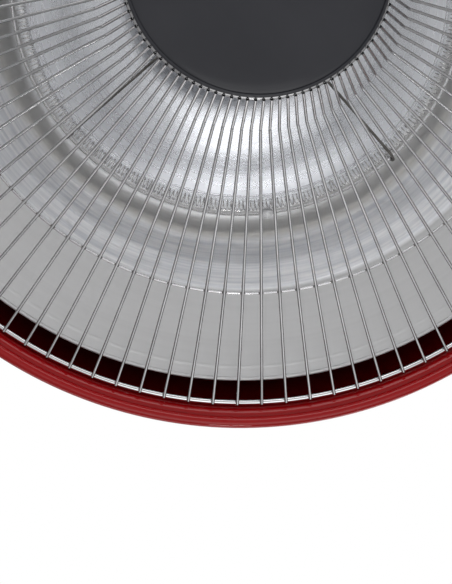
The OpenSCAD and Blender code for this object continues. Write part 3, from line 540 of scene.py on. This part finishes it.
# Finishes, one for each of the record's material slots
def red_paint():
    """Glossy stoved paint with slight orange peel and a little dust. Inside the dome, painted shade
    fades it to near black, going up from 25 to 46 mm above mouth level."""
    finish = Finish("red paint", Coat_Weight=0.55, Coat_Roughness=0.03, Roughness=0.4,
                    Specular_IOR_Level=0)
    tree = finish.tree
    tone = finish.colours(finish.use("blotches", Scale=9), (0.23, 0.0015, 0.0025), (0.28, 0.002, 0.0035))
    place = node(tree, "TexCoord")
    from_middle = node(tree, "VectorMath", operation="SUBTRACT")
    from_middle.inputs[1].default_value = (0, 0, drop(SKIRT_H) * MM)
    feed(tree, place.outputs["Object"], from_middle.inputs[0])
    outwards = node(tree, "VectorMath", operation="DOT_PRODUCT")
    feed(tree, from_middle.outputs[0], outwards.inputs[0])
    feed(tree, place.outputs["Normal"], outwards.inputs[1])
    # Painted shade: faces that look into the dome darken to near black as they go up into its hollow
    inside = ramp(tree, outwards.outputs["Value"], 0, -0.01)
    above = ramp(tree, height_of(tree), drop(PAINTED_SHADE_FROM_Z) * MM, drop(PAINTED_SHADE_FULL_Z) * MM)
    tone = finish.colours(calc(tree, "MULTIPLY", inside, above), tone, (0.012, 0.004, 0.004))
    finish.colours(finish.use("settled_dust", Amount=0.05), tone, (0.4, 0.3, 0.27))
    finish.drive("Roughness", finish.use("blotches", Scale=30, Low=0.34, High=0.46))
    finish.bump(finish.use("grain", Scale=420, Softness=1), 0.012)
    return finish.material


def spun_aluminium():
    """Bright spun sheet: fine circles all over, brushed and duller outside the lamp, with painted shade as a
    darker brownish ring just beside the lamp, and satin on the outer band."""
    finish = Finish("spun aluminium", Metallic=1)
    tree = finish.tree
    radius = from_axis(tree)[1]

    def beyond(low, high):
        """Goes from 0 to 1 between two radii; the other way round if the first is the larger."""
        return ramp(tree, radius, low * MM, high * MM)

    satin, soft = beyond(BAND_R - 1, BAND_R + 1), beyond(LAMP_R - 4, LAMP_R + 10)
    tone = finish.colours(finish.use("turning_marks", Lines=420, Length=0.4),
                          (0.72, 0.735, 0.775), (0.76, 0.775, 0.815))
    brushed = calc(tree, "MULTIPLY", soft, finish.use("turning_marks", Lines=1500, Length=3))
    tone = finish.colours(brushed, tone, (0.98, 0.98, 0.99))
    tone = finish.colours(satin, tone, (0.55, 0.55, 0.555))
    # Painted shade: a darker, brownish ring of the sheet, from 2 to 18 mm outside the lamp's ring
    painted_shade_ring = calc(tree, "MULTIPLY", beyond(LAMP_R + 2, LAMP_R + 7), beyond(LAMP_R + 18, LAMP_R + 14))
    finish.colours(painted_shade_ring, tone, (0.56, 0.55, 0.53))
    rough = finish.use("turning_marks", Lines=300, Length=0.3, Low=0.24, High=0.3)
    for zone, low, high in ((soft, 0.42, 0.52), (satin, 0.5, 0.58)):
        mix = node(tree, "Mix", data_type="FLOAT")
        feed(tree, rough, mix.inputs["A"])
        feed(tree, finish.use("turning_marks", Lines=500, Length=0.5, Low=low, High=high), mix.inputs["B"])
        feed(tree, zone, mix.inputs["Factor"])
        rough = mix.outputs["Result"]
    finish.drive("Roughness", rough)
    relief = None
    for lines, length, depth in ((110, 0.2, 0.05), (500, 0.4, 0.012)):
        swell = calc(tree, "MULTIPLY", finish.use("turning_marks", Lines=lines, Length=length), soft)
        relief = finish.bump(swell, depth, 0.4, relief)
    return finish.material


def quartz():
    """Clear glass whose surface is faintly uneven."""
    finish = Finish("quartz glass", Base_Color=(0.992, 0.992, 0.994, 1), Transmission_Weight=1, IOR=1.46)
    finish.drive("Roughness", finish.use("blotches", Scale=200, Low=0, High=0.04))
    return finish.material


def frosted_quartz():
    """Melted quartz that has turned milky."""
    finish = Finish("milky quartz", Coat_Weight=1, Coat_Roughness=0.05, Roughness=0.3)
    finish.colours(finish.use("blotches", Scale=500), (0.5, 0.5, 0.52), (0.86, 0.87, 0.88))
    finish.bump(finish.use("blotches", Scale=700), 0.1, 0.5)
    return finish.material


def metal(name, dark, light, rough, scale, edge=None):
    """A bare metal whose tone and roughness drift between two values, with worn edges if given."""
    finish = Finish(name, Metallic=1)
    tone = finish.colours(finish.use("blotches", Scale=scale), dark, light)
    if edge:
        finish.colours(finish.use("worn_edges"), tone, edge)
    finish.drive("Roughness", finish.use("blotches", Scale=scale * 3, Low=rough[0], High=rough[1]))
    finish.bump(finish.use("grain", Scale=1500), 0.004)
    return finish.material


def moulded(name, dark, light, rough, coarse=700, depth=0.02, coat=0.0, dust=0.12):
    """A moulded piece with a fine grain, slightly uneven and a little dusty on top."""
    finish = Finish(name, Coat_Weight=coat)
    tone = finish.colours(finish.use("blotches", Scale=25), dark, light)
    finish.colours(finish.use("settled_dust", Amount=dust), tone, (0.32, 0.29, 0.26))
    finish.drive("Roughness", finish.use("blotches", Scale=90, Low=rough[0], High=rough[1]))
    finish.bump(finish.use("grain", Scale=coarse), depth)
    return finish.material


def grey_enamel():
    """Half-matt heatproof enamel, as on the guard cap."""
    finish = Finish("dark grey enamel", Coat_Weight=0.3, Coat_Roughness=0.15, Specular_IOR_Level=0.2)
    finish.colours(finish.use("blotches", Scale=14), (0.016, 0.0165, 0.021), (0.024, 0.0245, 0.03))
    finish.drive("Roughness", finish.use("blotches", Scale=60, Low=0.34, High=0.46))
    finish.bump(finish.use("grain", Scale=1300, Softness=1), 0.02)
    return finish.material


def woven_sleeve(name, dark, light):
    """A braided glass sleeve: two sets of threads that cross as they wind round the lead."""
    finish = Finish(name, Roughness=0.8)
    tree = finish.tree
    place = node(tree, "TexCoord")
    heights = []
    for lean in (1, -1):
        turned_place = node(tree, "Mapping")
        turned_place.inputs["Rotation"].default_value = (radians(35 * lean), radians(25 * lean), 0)
        feed(tree, place.outputs["Object"], turned_place.inputs["Vector"])
        threads = node(tree, "TexWave", wave_type="BANDS", bands_direction="Z")
        set_inputs(threads, Scale=450, Distortion=0.3)
        feed(tree, turned_place.outputs["Vector"], threads.inputs["Vector"])
        heights.append(threads.outputs["Fac"])
    weave = calc(tree, "MAXIMUM", *heights)
    finish.colours(weave, dark, light)
    finish.bump(weave, 0.08)
    return finish.material


FINISH = {
    "red_paint": red_paint(),
    "spun_aluminium": spun_aluminium(),
    "quartz": quartz(),
    "grey_enamel": grey_enamel(),
    "chromed_wire": metal("chromed wire", (0.48, 0.48, 0.49), (0.6, 0.6, 0.61), (0.06, 0.14), 40),
    "guard_wire": metal("guard wire", (0.28, 0.28, 0.285), (0.38, 0.38, 0.385), (0.1, 0.18), 50),
    "tungsten": metal("tungsten coil", (0.42, 0.415, 0.41), (0.66, 0.655, 0.65), (0.2, 0.32), 300),
    "dark_steel": metal("heat-darkened steel", (0.09, 0.085, 0.08), (0.19, 0.18, 0.17), (0.35, 0.55), 90,
                        edge=(0.35, 0.34, 0.32)),
    "zinc_steel": metal("zinc-plated steel", (0.34, 0.35, 0.365), (0.5, 0.51, 0.52), (0.24, 0.4), 110,
                        edge=(0.66, 0.66, 0.67)),
    "brass": metal("brass", (0.55, 0.38, 0.14), (0.68, 0.5, 0.2), (0.22, 0.38), 120, edge=(0.85, 0.7, 0.4)),
    "black_plastic": moulded("black plastic", (0.014, 0.014, 0.015), (0.022, 0.022, 0.024), (0.42, 0.56)),
    "red_plastic": moulded("red switch plastic", (0.42, 0.012, 0.01), (0.5, 0.02, 0.014), (0.2, 0.3),
                           coarse=1200, depth=0.006, coat=0.3, dust=0),
    "lens_plastic": moulded("amber lens", (0.6, 0.13, 0.03), (0.68, 0.18, 0.05), (0.08, 0.16),
                            coarse=500, depth=0.05, coat=0.5, dust=0),
    "rubber": moulded("black rubber", (0.012, 0.012, 0.012), (0.03, 0.03, 0.03), (0.65, 0.85), 900, 0.03),
    "nylon": moulded("natural nylon", (0.62, 0.58, 0.48), (0.72, 0.69, 0.6), (0.35, 0.5), 900, 0.01),
    "ceramic": moulded("glazed ceramic", (0.62, 0.57, 0.48), (0.72, 0.69, 0.61), (0.45, 0.65), 1100, 0.03),
    "wire_sleeve": moulded("silicone sleeve", (0.04, 0.08, 0.16), (0.06, 0.11, 0.2), (0.45, 0.6), 1200, 0.01),
    "glass_sleeve": woven_sleeve("braided glass sleeve", (0.42, 0.39, 0.33), (0.78, 0.75, 0.68)),
}

FROSTED = frosted_quartz()

for part, piece in frame["nodes"].items():
    piece.material_slots[0].material = FINISH[SLOT_OF[part]]


# Dome: spun from one sheet, flared at the mouth and rolled into a bead
def dome_outline():
    """The outside from the top down, round the bead, along the lip's hollow underside and back inside."""
    bead_c, bead_z = RIM_R - BEAD_R, FLARE_Z - FLARE_W + (BEAD_R + SKIN * (1 - sqrt(2) / 2)) * 0.7
    lip_r, lip_z = bead_c - BEAD_R - 0.05, bead_z + 1.15  # where the underside leaves the bead
    shoulder = [radians(90 * i / 48) for i in range(49)]
    outer = [(FLAT_R + (SKIRT_R - FLAT_R) * sin(a), SKIRT_H + (DOME_H - SKIRT_H) * cos(a)) for a in shoulder]
    inner = [(FLAT_R + (SKIRT_R - SKIN - FLAT_R) * sin(a), SKIRT_H + (DOME_H - SKIN - SKIRT_H) * cos(a))
             for a in reversed(shoulder)]
    lip = [(lip_r - LIP_W * i / 8, lip_z + LIP_RISE * (i / 8) ** 2) for i in range(1, 9)]
    return ([(ROD_HOLE_R, DOME_H)] + outer + [(SKIRT_R, FLARE_Z + 1), (SKIRT_R + 0.3, FLARE_Z - 0.3)]
            + arc(bead_c, bead_z, BEAD_R, 145, -205, 40) + lip
            + inner + [(ROD_HOLE_R, DOME_H - SKIN), (ROD_HOLE_R, DOME_H)])


def make_dome():
    """The dome, with its holes for the rod, the tie bolts, the top cap's screws and the lamp's leads."""
    dome = turned("dome", dome_outline())
    drilled(dome, DOME_H, holes_round(TIE_R, TIE_HOLE_R) + holes_round(BOSS_R, BOSS_HOLE_R, pi / 4)
            + [(0, GROMMET_Y, GROMMET_HOLE_R)])
    smooth(dome)
    keep(dome, "dome_shell")


# Reflector: flat centre, trough over the lamp, satin band and a rolled edge
LEG_ANGLE = asin(LEG_REACH / LAMP_R)
LEG_X = LAMP_R * sin(LEG_ANGLE) - LEG_BEND * cos(LEG_ANGLE)
LEG_Y = LAMP_R * cos(LEG_ANGLE) + LEG_BEND * sin(LEG_ANGLE)


# Fall of the trough's outer side against radius: steep beside the lamp, then a shallower cone
FLANK = [(LAMP_R, 0), (110, 0.6), (115, 2.1), (119, 0.76), (122, 0.72), (128, 0.64), (142, 0.74),
         (BAND_R, 0.5)]
# Steps in radius and height: from the trough's foot to the band, and along the bead pressed near the edge
BAND_START = [(1.5, -0.35), (2.5, -0.18)]
EDGE_BEAD = [(-8, 0.5), (-7.4, 0.44), (-6.8, 0.2), (-6.2, 0.36), (-5.6, 0.33), (-2.6, 0.12)]


def falling(fall, top, foot, n):
    """A profile whose steepness runs through the given values, stretched to end at the foot's height."""
    line, z = [], 0
    for (r0, f0), (r1, f1) in zip(fall, fall[1:]):
        steps = max(2, round(n * (r1 - r0) / (fall[-1][0] - fall[0][0])))
        for i in range(steps):
            z += (f0 + (f1 - f0) * (i + 0.5) / steps) * (r1 - r0) / steps
            line.append((r0 + (r1 - r0) * (i + 1) / steps, z))
    return [(r, top - depth * (top - foot) / z) for r, depth in line]


def reflector_outline():
    """The shown face from the middle outwards, round the rolled edge and back along the other face."""
    face = ([(CENTRE_HOLE_R, CENTRE_Z), (CENTRE_R - 2, CENTRE_Z)]
            + ease(CENTRE_R, LAMP_R, CENTRE_Z, TROUGH_Z, 28) + falling(FLANK, TROUGH_Z, BAND_Z, 40)
            + [(BAND_R + r, BAND_Z + z) for r, z in BAND_START]
            + [(REFLECTOR_R + r, EDGE_Z + z) for r, z in EDGE_BEAD])
    back = [(r, z + SHEET) for r, z in reversed(face)]
    edge = arc(REFLECTOR_R - 1, EDGE_Z + SHEET / 2, 1, 200, 510, 24)
    return face + edge + back + [face[0]]


def make_reflector():
    """The reflector, with its holes for the hook plate's screw, the tie bolts and the lamp's legs."""
    reflector = turned("reflector", reflector_outline())
    drilled(reflector, CENTRE_Z, holes_round(TIE_R, TIE_HOLE_R))
    drilled(reflector, TROUGH_Z, [(s * LEG_X, LEG_Y, GLASS_R + LEG_HOLE_GAP) for s in (-1, 1)], 30)
    smooth(reflector, 40)
    keep(reflector, "reflector")


# Lamp: the quartz tube, its coil, and the four hooks that carry it
def glass_skin(name, r, leg_top, pinched):
    """The tube's skin: one half is spun from a circle at the front to the back, up the bend and up the
    leg, whose end is pinched flat or drawn together, and then mirrored."""
    bpy.ops.object.select_all(action="DESELECT")
    bpy.ops.mesh.primitive_circle_add(vertices=32, radius=r * MM, location=mm(0, -LAMP_R, LAMP_Z),
                                      rotation=(0, pi / 2, 0))
    bpy.ops.object.transform_apply(location=True, rotation=True, scale=True)
    skin = named(name)
    edit(skin)
    bpy.ops.mesh.spin(steps=84, angle=-(pi - LEG_ANGLE), center=(0, 0, 0), axis=(0, 0, 1))
    outwards = Vector((sin(LEG_ANGLE), cos(LEG_ANGLE), 0))
    ring_end = outwards * LAMP_R * MM + Vector((0, 0, drop(LAMP_Z))) * MM
    bpy.ops.mesh.spin(steps=12, angle=-pi / 2, center=ring_end + Vector((0, 0, LEG_BEND * MM)), axis=outwards)
    rise = leg_top - LAMP_Z - LEG_BEND
    bpy.ops.mesh.extrude_region_move(TRANSFORM_OT_translate={"value": (0, 0, rise * MM)})
    if pinched:
        foot = mm(LEG_X, LEG_Y, leg_top + 2)
        bpy.ops.mesh.extrude_region_move(TRANSFORM_OT_translate={"value": (0, 0, 2 * MM)})
        bpy.ops.transform.resize(value=(0.85, 0.4, 1), center_override=foot)
        bpy.ops.mesh.extrude_region_move(TRANSFORM_OT_translate={"value": (0, 0, (SEAL - 2) * MM)})
    else:
        foot = mm(LEG_X, LEG_Y, leg_top + 1.5)
        bpy.ops.mesh.extrude_region_move(TRANSFORM_OT_translate={"value": (0, 0, 1.5 * MM)})
        bpy.ops.transform.resize(value=(0.5, 0.5, 1), center_override=foot)
    bpy.ops.mesh.edge_face_add()
    leave()
    apply_modifier(skin, "MIRROR", use_mirror_merge=True, merge_threshold=0.01 * MM)
    outward(skin)
    return skin


def make_lamp_glass():
    """The tube's outer skin, and its bore as a second skin that faces inwards."""
    skin = glass_skin("lamp glass", GLASS_R, LEG_TOP_Z - SEAL, True)
    bore = glass_skin("lamp bore", GLASS_R - GLASS_WALL, LEG_TOP_Z - SEAL - 3, False)
    edit(bore)
    bpy.ops.mesh.flip_normals()
    leave()
    lamp = joined("lamp_glass", [bore, skin])
    smooth(lamp, 50)
    keep(lamp, "lamp_tube")


def make_filling_tip():
    """Where the filling tube was melted off: a milky blob of glass with a small nib, outside the ring."""
    bpy.ops.object.select_all(action="DESELECT")
    tip_at = Vector((cos(radians(TIP_ANGLE)), sin(radians(TIP_ANGLE)), 0)) * (LAMP_R + GLASS_R - TIP_SUNK)
    bpy.ops.mesh.primitive_uv_sphere_add(segments=32, ring_count=24, radius=TIP_R * MM)
    tip = named("filling_tip")
    edit(tip, "DESELECT")
    leave()
    top = max(tip.data.vertices, key=lambda v: v.co.z)
    top.select = True
    bpy.ops.object.mode_set(mode="EDIT")
    bpy.ops.transform.translate(value=(0, 0, TIP_NIB * MM), use_proportional_edit=True,
                                proportional_edit_falloff="SHARP", proportional_size=TIP_NIB_R * MM)
    leave()
    tip.scale = (1, 1.35, 1)
    tip.rotation_euler = (0, radians(TIP_LEAN), radians(TIP_ANGLE))
    tip.location = mm(tip_at.x, tip_at.y, LAMP_Z - TIP_DROP)
    apply_place(tip)
    smooth(tip, 60)
    finished(tip, "quartz", FROSTED)


def ring_point(a, r=LAMP_R, z=LAMP_Z):
    """A point on the lamp's ring, with the angle from the front towards the right in radians."""
    return mm(r * sin(a), -r * cos(a), z)


def make_filament():
    """The coil in one unbroken wire, its straight tails up the legs, and its supports."""
    end = pi - LEG_ANGLE
    coil_end = end - radians(COIL_SHORT)
    curls = round(2 * coil_end * LAMP_R / CURL_PITCH)
    steps = 12
    coil = []
    for i in range(curls * steps + 1):
        a = coil_end * (2 * i / (curls * steps) - 1)
        turn = 2 * pi * i / steps
        coil.append(ring_point(a, LAMP_R + COIL_R * cos(turn), LAMP_Z + COIL_R * sin(turn)))
    tail = [ring_point(coil_end + radians(d)) for d in (2, 4)] + [ring_point(end)]
    centre = tail[-1] + Vector((0, 0, LEG_BEND * MM))
    along = Vector((cos(end), sin(end), 0))
    for i in range(1, 9):
        f = pi / 2 * i / 8
        tail.append(centre + (along * sin(f) - Vector((0, 0, cos(f)))) * LEG_BEND * MM)
    tail.append(mm(LEG_X, LEG_Y, LEG_TOP_Z - SEAL + 3))
    other = [Vector((-p.x, p.y, p.z)) for p in reversed(tail)]
    filament = bent_wire("filament", other + coil + tail, COIL_WIRE, 6)
    widening = [(2 * pi * i / 20, COIL_R + SUPPORT_WIRE + 0.6 * i / 26) for i in range(27)]
    curl = [mm(0, -LAMP_R - r * cos(t), LAMP_Z + r * sin(t)) for t, r in widening]
    support = bent_wire("coil support", curl, SUPPORT_WIRE, 6)
    copies_round(support, SUPPORTS)
    turn_piece(support, 8)
    filament = joined("filament", [support, filament])
    smooth(filament, 60)
    keep(filament, "lamp_filament")


def make_hooks():
    """Four wires from the hook plate, each ending in an open crook under and outside the tube."""
    bend, tip_turn = GLASS_R + HOOK_WIRE / 2, radians(HOOK_CROOK)
    arm_z, plate_z = LAMP_Z - bend, HOOK_PLATE_Z - HOOK_WIRE / 2
    arm = [(10, plate_z), (HOOK_PLATE_R - 3, plate_z), (HOOK_PLATE_R + 6, arm_z), (LAMP_R - 2, arm_z)]
    points = rounded([mm(x, 0, z) for x, z in arm], 3 * MM, 5)
    points += [mm(x, 0, z) for x, z in arc(LAMP_R, LAMP_Z, bend, -90, HOOK_CROOK, 24)]
    points.append(mm(LAMP_R + bend * cos(tip_turn) + 1.4, 0, LAMP_Z + bend * sin(tip_turn) + 1.6))
    hooks = bent_wire("lamp_hooks", points, HOOK_WIRE, 10)
    copies_round(hooks, 4)
    turn_piece(hooks, HOOK_ANGLE)
    smooth(hooks, 60)
    keep(hooks, "lamp_hooks")


# Guard: two heavy rings, a thin one half way, 108 bent wires and their weld nuggets
def hoop(name, r, z, d, sides=16):
    """A ring of round wire, whose middle line has the radius r at the height z."""
    bpy.ops.object.select_all(action="DESELECT")
    bpy.ops.mesh.primitive_torus_add(major_radius=r * MM, minor_radius=d / 2 * MM, major_segments=216,
                                     minor_segments=sides, location=mm(0, 0, z))
    ring = named(name)
    apply_place(ring)
    return ring


def nuggets(r, z, size):
    """A flattened bead of weld metal under each wire, where it crosses a ring. Its size is measured
    outwards, round the ring and upwards."""
    bpy.ops.object.select_all(action="DESELECT")
    bpy.ops.mesh.primitive_ico_sphere_add(subdivisions=2, radius=MM, location=mm(r, 0, z))
    bead = named("weld")
    bead.scale = size
    apply_place(bead)
    copies_round(bead, WIRES)
    turn_piece(bead, WIRE_ANGLE)
    return bead


def make_guard():
    """The bent wires, the three rings that they are welded to, and the weld beads."""
    line = [mm(r, 0, z) for r, z in (WIRE_OUT, WIRE_BEND, WIRE_END)]
    wire = bent_wire("guard_wires", rounded(line, WIRE_CORNER_R * MM, 6), WIRE, 10)
    copies_round(wire, WIRES)
    turn_piece(wire, WIRE_ANGLE)
    smooth(wire, 60)
    keep(wire, "guard_wires")
    outer = joined("outer_ring_welded", [nuggets((RING_R + WIRE_OUT[0]) / 2 - 0.9, -1.1, (1.25, 0.95, 0.8)),
                                         hoop("ring", RING_R, 0, RING_WIRE)])
    hub = joined("hub_ring_welded", [nuggets((HUB_RING[0] + WIRE_END[0]) / 2 + 0.1, -54.9, (1, 0.9, 0.9)),
                                     hoop("ring", *HUB_RING, RING_WIRE)])
    middle = hoop("middle_ring", *MID_RING, MID_WIRE, 10)
    for ring, part, slot in ((outer, "guard_outer_ring", "chromed_wire"),
                             (hub, "guard_hub_ring", "guard_wire"),
                             (middle, "guard_middle_ring", "chromed_wire")):
        smooth(ring, 60)
        keep(ring, part, slot)
    welds = nuggets(MID_RING[0], MID_RING[1] - 0.4, (0.85, 1.3, 0.7))
    welds.name = "middle_ring_welds"
    smooth(welds, 60)
    finished(welds, "dark_steel")


# Guard cap: a shallow pressed bowl with a rolled edge
def make_guard_cap():
    """The bowl and its rolled edge, in one sheet."""
    edge_r = CAP_R - CAP_EDGE / 2
    turns = [radians(90 * i / 32) for i in range(33)]
    bowl = [(edge_r * sin(a), CAP_TOP - CAP_BULGE * cos(a)) for a in turns]
    outline = ([(r, z - CAP_SHEET) for r, z in bowl[:-1]]
               + arc(edge_r, CAP_TOP - CAP_EDGE / 2, CAP_EDGE / 2, -100, 150, 20) + bowl[-3::-1])
    cap = turned("guard_cap", outline, 144)
    smooth(cap, 40)
    keep(cap, "guard_cap")


make_dome()
make_reflector()
make_lamp_glass()
make_filling_tip()
make_filament()
make_hooks()
make_guard()
make_guard_cap()


# Floor, background and lights, in metres
FLOOR_Z = -1.35
FLOOR_SIZE = 60
FLOOR_GLOW = 0.45
ROOM_LIGHT = 0.4


def make_floor():
    """A wide matt floor that the camera sees paler than its light alone, and not at all from below."""
    bpy.ops.object.select_all(action="DESELECT")
    bpy.ops.mesh.primitive_plane_add(size=FLOOR_SIZE, location=(0, 0, FLOOR_Z))
    floor = named("floor")
    apply_place(floor)
    material = bpy.data.materials.new("pale floor")
    material.use_nodes = True
    tree = material.node_tree
    matt = tree.nodes["Principled BSDF"]
    set_inputs(matt, Base_Color=(0.8, 0.8, 0.8, 1), Roughness=0.9)
    glow = node(tree, "Emission")
    seen = node(tree, "LightPath").outputs["Is Camera Ray"]
    feed(tree, ramp(tree, seen, to_high=FLOOR_GLOW), glow.inputs["Strength"])
    lit = node(tree, "AddShader")
    feed(tree, matt.outputs[0], lit.inputs[0])
    feed(tree, glow.outputs[0], lit.inputs[1])
    clear = node(tree, "BsdfTransparent")
    mix = node(tree, "MixShader")
    feed(tree, node(tree, "NewGeometry").outputs["Backfacing"], mix.inputs["Fac"])
    feed(tree, lit.outputs[0], mix.inputs[1])
    feed(tree, clear.outputs[0], mix.inputs[2])
    feed(tree, mix.outputs[0], tree.nodes["Material Output"].inputs["Surface"])
    floor.data.materials.append(material)


def make_world():
    """A white room that looks bright, directly and in reflections, but lights the heater softly."""
    world = bpy.data.worlds.new("studio")
    bpy.context.scene.world = world
    world.use_nodes = True
    tree = world.node_tree
    back = tree.nodes["Background"]
    back.inputs["Color"].default_value = (1, 1, 1, 1)
    path = node(tree, "LightPath")
    seen = path.outputs["Is Camera Ray"]
    for kind in ("Is Glossy Ray", "Is Transmission Ray"):
        seen = calc(tree, "MAXIMUM", seen, path.outputs[kind])
    feed(tree, ramp(tree, seen, to_low=ROOM_LIGHT), back.inputs["Strength"])


def softbox(name, place, aim, size, power):
    """A rectangular light that shines from its place at its aim, with a power in watts."""
    data = bpy.data.lights.new(name, "AREA")
    data.shape = "RECTANGLE"
    data.size, data.size_y = size
    data.energy = power
    light = bpy.data.objects.new(name, data)
    bpy.context.scene.collection.objects.link(light)
    light.location = place
    light.rotation_euler = (Vector(aim) - Vector(place)).to_track_quat("-Z", "Y").to_euler()


make_floor()
make_world()
softbox("front softbox below", (-0.25, -0.75, -1.1), (0, 0, -0.16), (0.9, 0.5), 1.0)
softbox("narrow front softbox below", (-0.06, -0.6, -1.09), (0, 0, -0.16), (0.6, 0.7), 1.25)
softbox("back softbox below", (0, 0.85, -0.7), (0, -0.1, -0.17), (1.7, 0.6), 8.5)
softbox("front softbox level", (0, -1.9, 0.15), (0, 0, -0.15), (2.2, 0.9), 7)
softbox("small front softbox", (-0.1, -1.5, -0.72), (0, -0.07, -0.22), (0.16, 0.1), 1.2)
softbox("key softbox above", (-1.2, -1.4, 1.3), (0, 0, -0.1), (1.8, 1.8), 24)
softbox("fill softbox", (1.6, 0.6, 0.7), (0, 0, -0.1), (1.8, 1.8), 14)
bpy.context.scene.view_settings.view_transform = "Standard"
